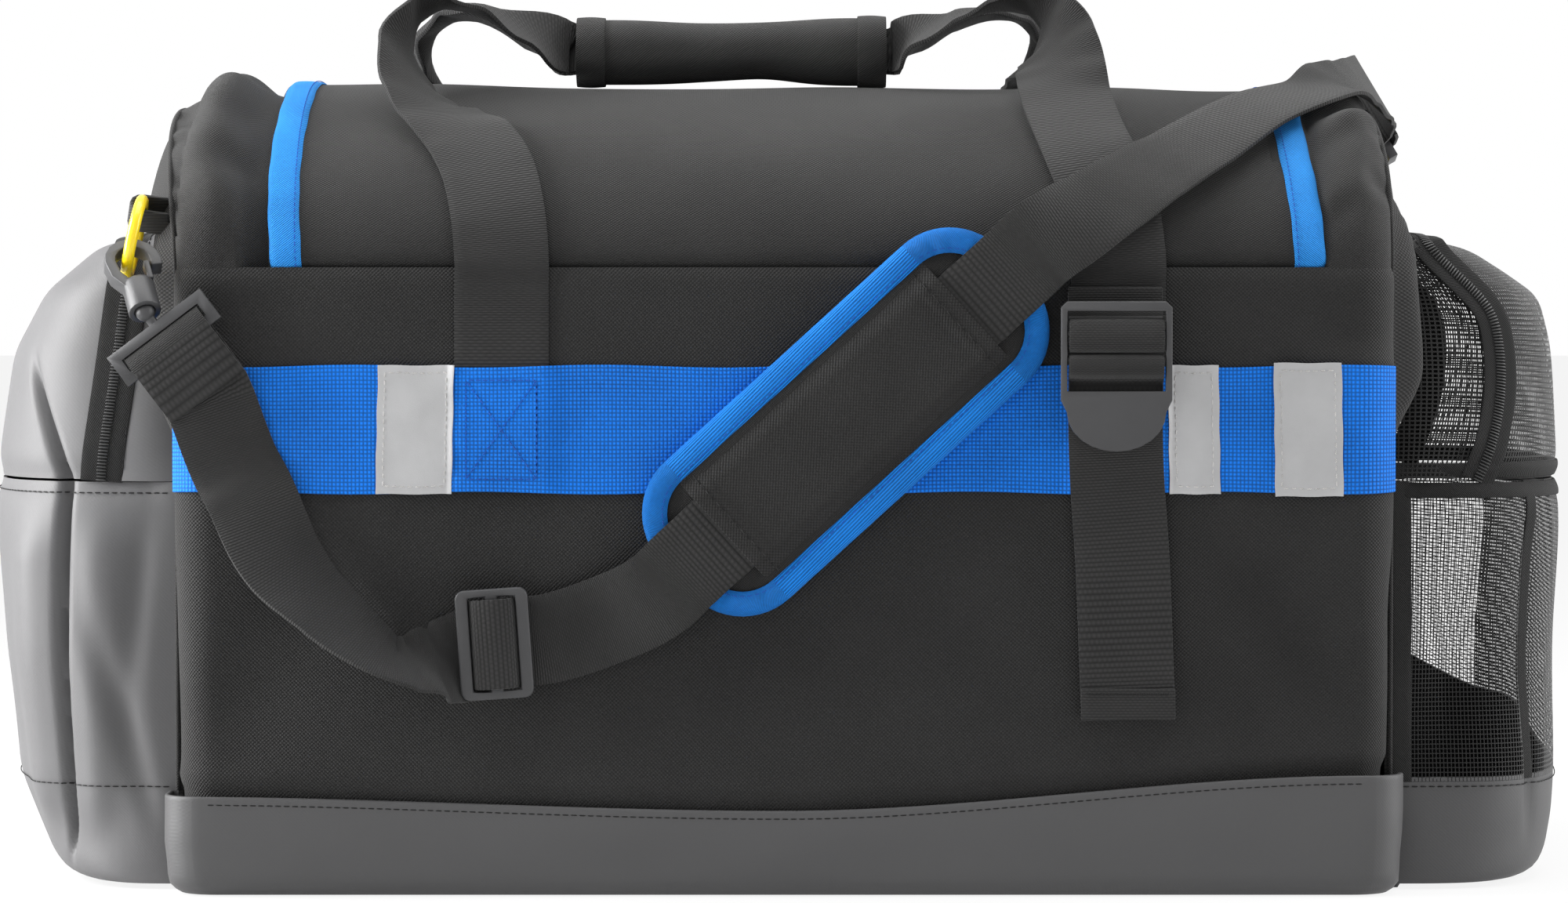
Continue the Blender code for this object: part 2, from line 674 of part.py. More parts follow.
def pocket_profile(inset):
    """The pocket's section at its middle, from its foot to its top, as (reach, z)."""
    reach, foot, top = POCKET_REACH - inset, POCKET_FOOT + inset, POCKET_TOP - inset
    round_in, round_up = POCKET_FOOT_ROUND
    low, high = POCKET_BELLY_Z
    lower = [(0, foot), (reach - round_in, foot), (reach - round_up, foot + round_up),
             (reach - POCKET_BELLY, low)]
    middle = [(reach, high), (reach, POCKET_SEAM_Z)]
    shoulder = [(reach - x, top - z) for x, z in zip(POCKET_SHOULDER_IN, POCKET_SHOULDER_DROP)]
    return lower + middle + shoulder + [(0, top)]


def pocket_row(side, reach, z, inset):
    """A row round the pocket at one height, from its front edge to its back edge."""
    half = POCKET_HALF - inset - POCKET_NARROWING * ease((z - POCKET_BELLY_Z[1]) / POCKET_NARROW_RISE)
    steps = 16
    row = []
    for k in range(steps + 1):
        angle = math.pi * k / steps
        c, s = math.cos(angle), math.sin(angle)
        squared = (abs(c) ** POCKET_SQUARENESS + abs(s) ** POCKET_SQUARENESS) ** (-1 / POCKET_SQUARENESS)
        row.append(Vector((side * (WALL_X + SEAT + reach * s * squared), -half * c * squared, z)))
    return row


def pocket_shell(side):
    """The whole pocket, open only towards the bag's end wall."""
    outer = [pocket_row(side, reach, z, 0) for reach, z in pocket_profile(0)]
    inner = [pocket_row(side, max(reach, 0), z, POCKET_WALL) for reach, z in pocket_profile(POCKET_WALL)]
    return slab(outer, inner)


def zip_side(side, outside, gap):
    """A wedge over the pocket seam, outside or inside the zip's slanting line."""
    low = POCKET_SEAM_Z + gap
    high = POCKET_TOP + POCKET_REACH
    slope = (POCKET_ZIP_HIGH - POCKET_ZIP_LOW) / (POCKET_TOP - POCKET_SEAM_Z)
    far = 2 * POCKET_REACH if outside else -POCKET_REACH

    def edge(z):
        return POCKET_ZIP_LOW + slope * (z - POCKET_SEAM_Z) + (gap if outside else -gap)

    corners = [(far, low), (edge(low), low), (edge(high), high), (far, high)]
    points = [(side * (WALL_X + SEAT + reach), z) for reach, z in corners]
    return tube([[Vector((x, y, z)) for x, z in points] for y in (-DEPTH, DEPTH)])


def level_block(low, high):
    """A wide block between two heights."""
    return box((-2 * LENGTH, -DEPTH, low), (2 * LENGTH, DEPTH, high))


def pocket_piece(name, side, keep, material, pivot=(0, 0, 0)):
    """The part of the pocket's shell inside a block."""
    made = piece(name, pocket_shell(side), material, pivot)
    combine(made, piece(f"{name}_guide", keep, material), "INTERSECT")
    return made


def make_pocket(name, side, cloth, finishes):
    """An end pocket: lower half, flap, zip gusset, slider and pull."""
    half_gap = SEAT / 2
    seam_low = POCKET_SEAM_Z - half_gap
    if name == "right_pocket":
        base = level_block(-LENGTH, MESH_BASE_Z - half_gap)
        pocket_piece(f"{name}_base", side, base, finishes["coated"])
        pocket_piece(f"{name}_mesh", side, level_block(MESH_BASE_Z + half_gap, seam_low), finishes[cloth])
    else:
        pocket_piece(f"{name}_shell", side, level_block(-LENGTH, seam_low), finishes[cloth])
    axis = (side * (WALL_X + 2 * SEAT + POCKET_REACH), 0, POCKET_SEAM_Z)
    pocket_piece(f"{name}_flap", side, zip_side(side, True, half_gap), finishes[cloth], axis)
    pocket_piece(f"{name}_gusset", side, zip_side(side, False, half_gap), finishes["zip"])

    x = side * (WALL_X + SEAT + POCKET_ZIP_HIGH - SLIDER_WIDTH / 2)
    z = POCKET_TOP - SLIDER_HEIGHT / 6
    y = POCKET_SLIDER_Y
    body = box((x - SLIDER_WIDTH / 2, y - SLIDER_LENGTH / 2, z),
               (x + SLIDER_WIDTH / 2, y + SLIDER_LENGTH / 2, z + SLIDER_HEIGHT))
    slider = piece(f"{name}_slider", body, finishes["metal"], (x, y, z))
    bevel_edges(slider, SLIDER_HEIGHT / 5)
    make_pull(f"{name}_pull", frame_of((x, y, z + SLIDER_HEIGHT + SEAT), UP, ALONG), finishes)


# Compression strap


def lock_plane():
    """Where the ladder lock's bars stand in front of the wall."""
    return FRONT - LOCK_STAND


def lock_bar(number):
    """The middle of one of the ladder lock's webbing bars."""
    return Vector((LOCK_X, lock_plane(), LOCK_TOP_Z - LOCK_BAR_DROP[number]))


def make_ladder_lock(finishes):
    """The frame with its two bars and its round release tab."""
    bottom = LOCK_TOP_Z - LOCK_HEIGHT
    half = LOCK_WIDTH / 2
    tab_half = half - LOCK_RAIL
    arc = [math.pi * k / 12 for k in range(13)]
    tab = [(tab_half * math.cos(a), bottom - LOCK_TAB * math.sin(a)) for a in arc]
    shoulder = 2 * LOCK_RAIL
    outline = [(-half, bottom + shoulder), (-half, LOCK_TOP_Z - LOCK_RAIL), (-half + LOCK_RAIL, LOCK_TOP_Z),
               (half - LOCK_RAIL, LOCK_TOP_Z), (half, LOCK_TOP_Z - LOCK_RAIL), (half, bottom + shoulder)] + tab
    back = lock_plane() + LOCK_THICK / 2
    rings = [[Vector((LOCK_X + x, y, z)) for x, z in outline] for y in (back, back - LOCK_THICK)]
    hinge = lock_bar(0)
    frame = piece("ladder_lock", tube(rings), finishes["moulded"], hinge)
    inner = half - LOCK_RAIL
    high = LOCK_TOP_Z - LOCK_TOP_BAR
    window = box((LOCK_X - inner, back - 2 * LOCK_THICK, high - LOCK_WINDOW),
                 (LOCK_X + inner, back + LOCK_THICK, high))
    combine(frame, piece("lock_window_guide", window, finishes["moulded"]), "DIFFERENCE")
    for number in (0, 1):
        place = Matrix.Translation(lock_bar(number)) @ Matrix.Rotation(math.pi / 2, 4, "Y")
        reach = inner + LOCK_RAIL / 2
        profile = [(0, -reach), (LOCK_BAR, -reach), (LOCK_BAR, reach), (0, reach)]
        bar = piece(f"lock_bar_guide_{number}", turned(profile, place, 8), finishes["moulded"])
        combine(frame, bar, "UNION")


def bar_wrap(centre, first, last, radius):
    """Stations of webbing round a bar, between two angles from straight back to straight down the front."""
    steps = 8
    path = []
    for k in range(steps + 1):
        angle = math.radians(first + (last - first) * k / steps)
        outward = Vector((0, math.cos(angle), math.sin(angle)))
        path.append((centre + outward * radius, outward, STRAP_WIDTH))
    return path


def make_compression_strap(finishes):
    """The sewn loop that holds the buckle, the webbing through it and the hanging tail."""
    leg_front = leg_face() + HANDLE / 2
    band_front = SEAT + BAND
    near = FRONT - max(leg_front, band_front) - SEAT - STRAP / 2
    far = near - STRAP - SEAT
    radius = LOCK_BAR + SEAT + STRAP / 2
    top = LID_AXIS.z - HANDLE_HINGE_GAP - 2 * STRAP
    bar = lock_bar(0)

    def at(y, z, facing=FORWARD):
        return (Vector((LOCK_X, y, z)), facing, STRAP_WIDTH)

    behind_bar = [at(near, top, -FORWARD), at(near, bar.z + STRAP, -FORWARD)]
    before_bar = [at(far, bar.z + 4 * STRAP), at(far, top)]
    loop = behind_bar + bar_wrap(bar, -30, -270, radius) + before_bar
    piece("buckle_loop", ribbon(loop, STRAP), finishes["webbing"])

    second = lock_bar(1)
    foot = LOCK_TOP_Z - LOCK_HEIGHT
    behind = lock_plane() + LOCK_THICK / 2 + SEAT + STRAP / 2
    hanging = behind + STRAP + RUN
    run = [at(behind, foot), at(behind, second.z - 5 * STRAP)]
    roll = bar_wrap(second, -130, -360, radius)
    back = [at(hanging, second.z - 2 * STRAP, -FORWARD), at(hanging, foot, -FORWARD)]
    piece("threaded_strap", ribbon(run + roll + back, STRAP), finishes["webbing"], bar)

    stations = [at(hanging, foot - RUN), at(hanging, foot - 4 * STRAP), at(near, foot - 16 * STRAP),
                at(near, TAIL_BOTTOM_Z)]
    piece("strap_tail", ribbon(smooth(stations, 3), STRAP), finishes["webbing"])


# Shoulder strap hardware


def hook_outline():
    """Middle line of the hook's jaw in its own XZ plane, from its shank to its tip."""
    arc = [math.pi * k / 8 for k in range(9)]
    bend = [(JAW_RADIUS * math.cos(a), JAW_CENTRE + JAW_RADIUS * math.sin(a)) for a in arc]
    shank = [(BARREL_RADIUS / 2, BARREL_HEIGHT - SHANK_SINK),
             (JAW_RADIUS - SHANK_IN, BARREL_HEIGHT + SHANK_RISE)]
    return shank + bend + [(-JAW_RADIUS, JAW_TIP)]


def flat_bar(line, width, thickness, place):
    """A bar of rectangular section along a line in the place's XZ plane."""
    rings = []
    for k, (x, z) in enumerate(line):
        x0, z0 = line[max(k - 1, 0)]
        x1, z1 = line[min(k + 1, len(line) - 1)]
        along = Vector((x1 - x0, 0, z1 - z0)).normalized()
        across = Vector((along.z, 0, -along.x))
        middle = Vector((x, 0, z))
        corners = ((1, 1), (1, -1), (-1, -1), (-1, 1))
        rings.append([place @ (middle + across * a * width / 2 + Vector((0, b * thickness / 2, 0)))
                      for a, b in corners])
    return tube(rings)


def make_hook(name, place, eye_place, finishes):
    """A swivel snap hook: jaw and barrel, gate, and the eye that turns in the barrel."""
    cup = BALL_RADIUS + SEAT
    mouth = [(cup * math.sin(a), cup * math.cos(a)) for a in (0, 0.4, 0.8, 1.2, math.pi / 2)]
    wall = [(BARREL_RADIUS, 0), (BARREL_RADIUS, BARREL_HEIGHT * 0.88), (BARREL_RADIUS * 0.92, BARREL_HEIGHT),
            (0, BARREL_HEIGHT)]
    barrel = piece(f"{name}_barrel_guide", turned(mouth + wall, place), finishes["moulded"], place.translation)
    jaw = flat_bar(hook_outline(), JAW_BAR, JAW_THICK, place)
    hook = piece(f"{name}_hook", jaw, finishes["moulded"], place.translation)
    combine(hook, barrel, "UNION")

    tip = -JAW_RADIUS + JAW_BAR / 2 + SEAT + GATE_BAR / 2
    foot = BARREL_HEIGHT + RUN
    line = [(tip, foot), (tip, (foot + JAW_TIP) / 2), (tip, JAW_TIP + JAW_BAR * 0.8)]
    pivot = place @ Vector((tip, 0, foot))
    gate = flat_bar(line, GATE_BAR, JAW_THICK - 2 * RUN, place)
    piece(f"{name}_gate", gate, finishes["moulded"], pivot)

    arc = [math.pi * k / 8 for k in range(9)]
    ball = [(BALL_RADIUS * math.sin(a), -BALL_RADIUS * math.cos(a)) for a in arc]
    eye = piece(f"{name}_eye", turned(ball, eye_place), finishes["moulded"], place.translation)
    half = SHOULDER_WIDTH / 2 + RUN + EYE_BAR / 2
    top = -(BALL_RADIUS + EYE_NECK)
    low = top - EYE_DEPTH + EYE_BAR
    frame = [(-half, top), (half, top), (half, low), (-half, low)]
    rings = []
    for x, z in frame:
        out = Vector((1 if x > 0 else -1, 0, 1 if z == top else -1)) * EYE_BAR / 2
        side = Vector((0, EYE_BAR / 2, 0))
        middle = Vector((x, 0, z))
        corners = ((1, 1), (1, -1), (-1, -1), (-1, 1))
        rings.append([eye_place @ (middle + out * a + side * b) for a, b in corners])
    combine(eye, piece(f"{name}_frame_guide", tube(rings, closed=True), finishes["moulded"]), "UNION")
    neck = [(0, top), (EYE_BAR / 2, top), (EYE_BAR / 2, -BALL_RADIUS / 2), (0, -BALL_RADIUS / 2)]
    combine(eye, piece(f"{name}_neck_guide", turned(neck, eye_place, 10), finishes["moulded"]), "UNION")


def make_ring(name, centre, towards, across, finishes):
    """A round wire ring in the plane of two directions."""
    around, sides = 24, 8
    u = Vector(towards).normalized()
    v = (Vector(across) - u * u.dot(Vector(across))).normalized()
    w = u.cross(v)
    rings = []
    for k in range(around):
        a = 2 * math.pi * k / around
        out = u * math.cos(a) + v * math.sin(a)
        angles = [2 * math.pi * j / sides for j in range(sides)]
        rings.append([centre + out * (RING_RADIUS + RING_WIRE * math.cos(b)) + w * RING_WIRE * math.sin(b)
                      for b in angles])
    piece(name, tube(rings, closed=True), finishes["yellow"], centre)


def make_tab(name, wire, across, side, finishes):
    """A folded webbing tab from the end wall round the ring's wire."""
    v = Vector(across).normalized()
    out = Vector((side, 0, 0))
    out = (out - v * v.dot(out)).normalized()
    turn = out.cross(v)
    radius = RING_WIRE + TAB_ROOM + STRAP / 2
    arc = [math.pi * k / 6 for k in range(7)]
    path = [(wire - out * TAB_REACH + turn * radius, turn, TAB_WIDTH)]
    path += [(wire + turn * radius * math.cos(a) + out * radius * math.sin(a),
              turn * math.cos(a) + out * math.sin(a), TAB_WIDTH) for a in arc]
    path.append((wire - out * TAB_REACH - turn * radius, -turn, TAB_WIDTH))
    tab = ribbon(path, STRAP)
    piece(name, trim(tab, (side * (WALL_X + SEAT), 0, 0), (-side, 0, 0)), finishes["webbing"])


def strap_ends():
    """Places of both hooks and eyes: left in front of the pocket, right behind the cap."""
    made = {}
    for name, side, y, towards, across, hook_way, strap_way, bar_way in (
        ("left", -1, FRONT + LEFT_RING_IN, (-0.10, -0.75, -0.66), (0.19, -0.66, 0.73), (-0.27, 0.61, 0.74),
         (0.60, 0, -0.80), (0, -1, 0)),
        ("right", 1, -FRONT - RIGHT_RING_IN, (0.02, -0.30, 0.95), (0, 0.95, 0.30), (0.06, 0.69, -0.72),
         (-0.03, -0.98, 0.20), (0.86, 0, 0.50)),
    ):
        wire = Vector((side * (WALL_X + TAB_REACH), y, RING_Z))
        u = Vector(towards).normalized()
        normal = u.cross(Vector(across)).normalized()
        way = Vector(hook_way).normalized()
        out = (normal * normal.dot(way) - way).normalized()
        centre = wire + u * RING_RADIUS
        caught = centre + out * RING_RADIUS
        hook = frame_of((0, 0, 0), way, normal.cross(out))
        origin = caught - hook @ Vector((WIRE_SHIFT, 0, JAW_CENTRE))
        hook.translation = origin
        pull = Vector(strap_way).normalized()
        made[name] = {
            "side": side, "wire": wire, "centre": centre, "towards": towards, "across": across, "hook": hook,
            "eye": frame_of(origin, -pull, bar_way),
            "bar": origin + pull * (BALL_RADIUS + EYE_NECK + EYE_DEPTH - EYE_BAR),
            "way": pull, "face": Vector(bar_way).normalized(),
        }
    return made


def make_strap_ends(finishes):
    """Rings, tabs and snap hooks at both ends of the shoulder strap."""
    for name, end in strap_ends().items():
        make_tab(f"{name}_ring_tab", end["wire"], end["across"], end["side"], finishes)
        make_ring(f"{name}_ring", end["centre"], end["towards"], end["across"], finishes)
        make_hook(name, end["hook"], end["eye"], finishes)


# Shoulder strap and pad


def pad_point(along, across, out):
    """A place on the pad: along its axis, across it, and out from the wall."""
    angle = math.radians(PAD_ANGLE)
    c, s = math.cos(angle), math.sin(angle)
    return Vector((PAD_X + along * c - across * s, FRONT - out, PAD_Z + along * s + across * c))


PAD_FOOT = SEAT * 2 + BAND + PATCH          # back of the pad, in front of the band
PAD_FACE = PAD_FOOT + PAD
STRAP_ON_PAD = PAD_FACE + SEAT + STRAP / 2


def eye_fold(end, tail):
    """Stations of webbing sewn round an eye's bar, from its cut end to the running strap."""
    bar, way, face = end["bar"], end["way"], end["face"]
    radius = EYE_BAR * 0.5 * math.sqrt(2) + SEAT + STRAP / 2
    near = STRAP / 2 + SEAT
    path = [(bar + way * tail + face * 2 * near, face, SHOULDER_WIDTH),
            (bar + way * radius * 2.5 + face * radius, face, SHOULDER_WIDTH)]
    for k in range(5):
        a = math.pi * k / 4
        out = face * math.cos(a) - way * math.sin(a)
        path.append((bar + out * radius, out, SHOULDER_WIDTH))
    path.append((bar + way * radius * 2.5 - face * radius, -face, SHOULDER_WIDTH))
    path.append((bar + way * tail - face * near * 0.2, -face, SHOULDER_WIDTH))
    return path


def make_strap(finishes):
    """The shoulder strap in four stretches, from the left hook to the right one."""
    ends = strap_ends()
    back = Vector((0, 1, 0))

    def wall(x, z, out=STRAP_ON_WALL):
        return (Vector((x, FRONT - out, z)), back, SHOULDER_WIDTH)

    def on_pad(along):
        return (pad_point(along, 0, STRAP_ON_PAD), back, SHOULDER_WIDTH)

    splits = (RUN, *STRAP_SPLIT_EASE)
    pad_start = -PAD_LENGTH / 2 - STRAP_BEFORE_PAD
    run = [wall(x, z) for x, z in (*WALL_ROUTE, (GLIDE_X, GLIDE_Z), *GLIDE_ROUTE)]
    lift = [on_pad(pad_start - d) for d in reversed(splits)]
    fold = eye_fold(ends["left"], FOLD_LEFT)
    piece("strap_lower", ribbon(fold + smooth([fold[-1]] + run + lift, 3)[1:], STRAP), finishes["webbing"])

    pad_end = PAD_LENGTH / 2 + STRAP_PAST_PAD
    middle = [on_pad(along) for along in (pad_start, 0, pad_end)]
    piece("strap_pad_run", ribbon(middle, STRAP), finishes["webbing"])

    def over(x, degrees, out):
        turn = math.radians(degrees)
        return (arch(turn, out) + ALONG * x, -arch_normal(turn), SHOULDER_WIDTH)

    right = ends["right"]
    start = [on_pad(pad_end + d) for d in splits]
    fold = list(reversed(eye_fold(right, FOLD_RIGHT)))
    shoulder = right["bar"] + right["way"] * CAP_RUN
    bend = (WALL_X + CAP_TURN, shoulder.y - CAP_RUN_BACK, shoulder.z + CAP_RUN_RISE)
    lid_run = [over(*station) for station in zip(LID_ROUTE_X, LID_ROUTE_DEGREES, LID_ROUTE_LIFT)]
    cap_run = [(bend, (-0.70, 0.05, -0.70), SHOULDER_WIDTH), (shoulder, -right["face"], SHOULDER_WIDTH)]
    path = start + lid_run + cap_run + [fold[0]]
    split = LID_LENGTH / 2 + LID_OPEN_GAP / 2
    stations = smooth(path, 3) + fold[1:]
    lid_end = trim(ribbon(stations, STRAP), (split - SEAT / 2, 0, 0), ALONG)
    piece("strap_over_lid", lid_end, finishes["webbing"], LID_AXIS)
    cap_end = trim(ribbon(stations, STRAP), (split + SEAT / 2, 0, 0), -ALONG)
    piece("strap_over_cap", cap_end, finishes["webbing"])


def make_pad(finishes):
    """The shoulder pad with its binding and the sleeve that the strap runs in."""
    core_length = PAD_LENGTH - PAD_BINDING - 2 * SEAT
    core_width = PAD_WIDTH - PAD_BINDING - 2 * SEAT
    core = rounded(core_length, core_width, PAD_CORNER - PAD_BINDING / 2)
    rings = [[pad_point(x, y, out) for x, y in core] for out in (PAD_FOOT, PAD_FACE)]
    piece("pad_base", tube(rings), finishes["foam"])

    half = PAD_BINDING / 2
    loops = []
    for inset, out in ((0.3 * half, PAD_FOOT), (0, PAD_FOOT + PAD / 2), (0.3 * half, PAD_FACE),
                       (half, PAD_FACE), (half, PAD_FOOT)):
        outline = rounded(PAD_LENGTH - 2 * inset, PAD_WIDTH - 2 * inset, PAD_CORNER - inset)
        loops.append([pad_point(x, y, out) for x, y in outline])
    sections = [list(section) for section in zip(*loops)]
    piece("pad_binding", tube(sections, closed=True), finishes["blue"])

    wide, room = SLEEVE_WIDTH / 2, SLEEVE_ROOM + SLEEVE
    foot = PAD_FACE + SEAT
    narrow = wide - SLEEVE
    section = [(-wide, 0), (-wide, room), (wide, room), (wide, 0), (narrow, 0), (narrow, SLEEVE_ROOM),
               (-narrow, SLEEVE_ROOM), (-narrow, 0)]
    rings = [[pad_point(along, y, foot + out) for y, out in section]
             for along in (-SLEEVE_LENGTH / 2, SLEEVE_LENGTH / 2)]
    piece("pad_sleeve", tube(rings), finishes["foam"])


def make_glide(finishes):
    """The strap adjuster and the webbing that loops over its middle bar."""
    angle = math.radians(GLIDE_ANGLE)
    along = Vector((math.cos(angle), 0, math.sin(angle)))
    back = STRAP_ON_WALL + STRAP / 2 + SEAT + STRAP + SEAT
    centre = Vector((GLIDE_X, FRONT - back, GLIDE_Z))
    place = frame_of(centre, FORWARD, Vector((-along.z, 0, along.x)))
    frame = piece("tri_glide", prism(rounded(GLIDE_LENGTH, GLIDE_WIDTH, GLIDE_CORNER), place, GLIDE),
                  finishes["moulded"], centre)
    gap = SHOULDER_WIDTH / 2 + RUN
    bar = (GLIDE_LENGTH - 2 * GLIDE_SLOT) / 3
    for number, sign in enumerate((-1, 1)):
        x = sign * (bar / 2 + GLIDE_SLOT / 2)
        low = (x - GLIDE_SLOT / 2, -gap, -GLIDE)
        slot = box(low, (x + GLIDE_SLOT / 2, gap, 2 * GLIDE))
        slot.transform(place)
        combine(frame, piece(f"glide_slot_guide_{number}", slot, finishes["moulded"]), "DIFFERENCE")
    under = -SEAT - STRAP / 2
    over = GLIDE + SEAT + STRAP / 2
    reach = GLIDE_LENGTH / 2 + GLIDE_TAIL
    line = [(-reach, under), (-bar / 2 - GLIDE_SLOT * 0.75, under), (-bar / 2 - GLIDE_SLOT * 0.25, over),
            (bar / 2 + GLIDE_SLOT * 0.25, over), (bar / 2 + GLIDE_SLOT * 0.75, under), (reach, under)]
    facing = place.to_3x3() @ UP
    stations = [(place @ Vector((x, 0, z)), facing, SHOULDER_WIDTH) for x, z in line]
    piece("glide_loop", ribbon(stations, STRAP), finishes["webbing"], centre)


def main():
    """Build the bag, piece by piece."""
    clear_scene()
    finishes = make_finishes()
    make_base(finishes)
    make_walls(finishes)
    make_end_panel("left_end_panel", -1, finishes)
    make_end_panel("right_end_panel", 1, finishes)
    make_lid(finishes)
    make_lid_zip(finishes)
    make_bands(finishes)
    make_handles(finishes)
    make_grip(finishes)
    make_pocket("left_pocket", -1, "coated", finishes)
    make_pocket("right_pocket", 1, "mesh", finishes)
    make_ladder_lock(finishes)
    make_compression_strap(finishes)
    make_strap_ends(finishes)
    make_strap(finishes)
    make_pad(finishes)
    make_glide(finishes)


main()
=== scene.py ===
"""Looks of the gear duffel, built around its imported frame.

Walls, lid, caps and pockets are soft shells on the frame's sizes, webbing follows the routes of the solids, and
buckles, hooks and sliders are finished from the solids themselves.
"""

import json
import logging
import math
from dataclasses import dataclass
from enum import Enum
from typing import Callable, Sequence

import bpy
import numpy as np
from mathutils import Matrix, Vector


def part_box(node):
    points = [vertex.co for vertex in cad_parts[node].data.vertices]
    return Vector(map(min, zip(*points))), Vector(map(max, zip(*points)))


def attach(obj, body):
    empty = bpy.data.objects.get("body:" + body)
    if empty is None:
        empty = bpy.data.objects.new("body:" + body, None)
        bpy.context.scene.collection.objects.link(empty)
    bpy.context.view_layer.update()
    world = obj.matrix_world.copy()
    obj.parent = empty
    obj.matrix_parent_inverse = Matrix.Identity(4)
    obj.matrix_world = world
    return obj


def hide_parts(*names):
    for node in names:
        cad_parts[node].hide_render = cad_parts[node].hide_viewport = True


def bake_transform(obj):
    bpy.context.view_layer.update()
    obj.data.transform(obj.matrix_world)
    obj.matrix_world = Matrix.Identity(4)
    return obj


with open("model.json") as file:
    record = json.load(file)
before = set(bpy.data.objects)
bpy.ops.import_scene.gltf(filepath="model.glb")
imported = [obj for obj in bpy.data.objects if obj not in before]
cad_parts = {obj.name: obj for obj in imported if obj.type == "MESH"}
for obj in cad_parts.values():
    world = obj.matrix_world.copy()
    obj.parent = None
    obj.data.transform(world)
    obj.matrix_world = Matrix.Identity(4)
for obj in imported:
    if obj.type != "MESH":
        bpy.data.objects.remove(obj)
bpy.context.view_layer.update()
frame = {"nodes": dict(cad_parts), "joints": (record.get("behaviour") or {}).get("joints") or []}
LOG = logging.getLogger("duffel")

Array = np.ndarray
Piece = bpy.types.Object
Material = bpy.types.Material
Colour = tuple[float, float, float]
Place = Callable[[Array, Array], Array]
Station = tuple[Sequence[float], Sequence[float], float]

FORWARD = (0.0, -1.0, 0.0)
BACKWARD = (0.0, 1.0, 0.0)
UP = (0.0, 0.0, 1.0)


class Side(Enum):
    """An end of the bag, by the sign of its X."""

    LEFT = -1
    RIGHT = 1


class Face(Enum):
    """A long wall of the bag, by the sign of its Y."""

    FRONT = -1
    BACK = 1


class Pattern(Enum):
    """How the threads of a cloth cross."""

    PLAIN = "plain"
    BASKET = "basket"
    RIBBED = "ribbed"
    TWILL = "twill"


# Mesh helpers


def deselect() -> None:
    """Leave nothing selected."""
    bpy.ops.object.select_all(action="DESELECT")


def activate(made: Piece) -> None:
    """Select one object alone and make it active."""
    deselect()
    made.select_set(True)
    bpy.context.view_layer.objects.active = made


def coords(made: Piece) -> Array:
    """The places of an object's points, one row each."""
    flat = np.empty(len(made.data.vertices) * 3, np.float32)
    made.data.vertices.foreach_get("co", flat)
    return flat.reshape(-1, 3).astype(float)


def set_coords(made: Piece, points: Array) -> None:
    """Move an object's points to new places."""
    made.data.vertices.foreach_set("co", np.asarray(points, np.float32).ravel())
    made.data.update()


def run_length(points: Array) -> float:
    """The length of a line of points."""
    return float(np.linalg.norm(np.diff(points, axis=0), axis=1).sum())


def ease(value: Array | float) -> Array:
    """A soft step from 0 to 1."""
    value = np.clip(value, 0.0, 1.0)
    return value * value * (3 - 2 * value)


def bell(value: Array | float) -> Array:
    """A soft hump, 1 at 0 and about 0 past 2."""
    return np.exp(-np.square(value))


def dent(a: Array, b: Array, centre: tuple[float, float], reach: tuple[float, float], degrees: float) -> Array:
    """A soft oval hump over two coordinates.

    Args:
        a: First coordinate of each point.
        b: Second coordinate of each point.
        centre: Middle of the hump.
        reach: Half sizes along and across it.
        degrees: Turn of its long axis from the first coordinate.

    Returns:
        Height of the hump at each point, from 0 to 1.
    """
    turn = math.radians(degrees)
    da, db = a - centre[0], b - centre[1]
    along = da * math.cos(turn) + db * math.sin(turn)
    across = db * math.cos(turn) - da * math.sin(turn)
    return bell(along / reach[0]) * bell(across / reach[1])


def ripple(points: Array, wavelength: float, seed: int, waves: int = 14) -> Array:
    """Smooth cloth-like unevenness.

    Args:
        points: Places, one row each.
        wavelength: Usual distance between two humps.
        seed: Choice of the pattern.
        waves: How many waves are summed.

    Returns:
        A height for each point, mostly between -1 and 1.
    """
    draw = np.random.default_rng(seed)
    ways = draw.normal(size=(waves, 3))
    ways /= np.linalg.norm(ways, axis=1)[:, None]
    lengths = wavelength * draw.uniform(0.7, 1.9, waves)
    phases = draw.uniform(0, 2 * math.pi, waves)
    return np.sin(points @ (ways / lengths[:, None]).T * 2 * math.pi + phases).sum(1) / math.sqrt(waves)


def lay_uv(made: Piece, uv: Array) -> None:
    """Write a UV map, in metres, from one place per point."""
    mesh = made.data
    index = np.empty(len(mesh.loops), np.int32)
    mesh.loops.foreach_get("vertex_index", index)
    layer = mesh.uv_layers.active or mesh.uv_layers.new(name="UVMap")
    layer.data.foreach_set("uv", uv[index].astype(np.float32).ravel())


def face_away(made: Piece, inside: Sequence[float]) -> None:
    """Turn a sheet's faces away from a point."""
    total = 0.0
    for face in made.data.polygons:
        total += face.normal.dot(face.center - Vector(inside)) * face.area
    if total < 0:
        made.data.flip_normals()


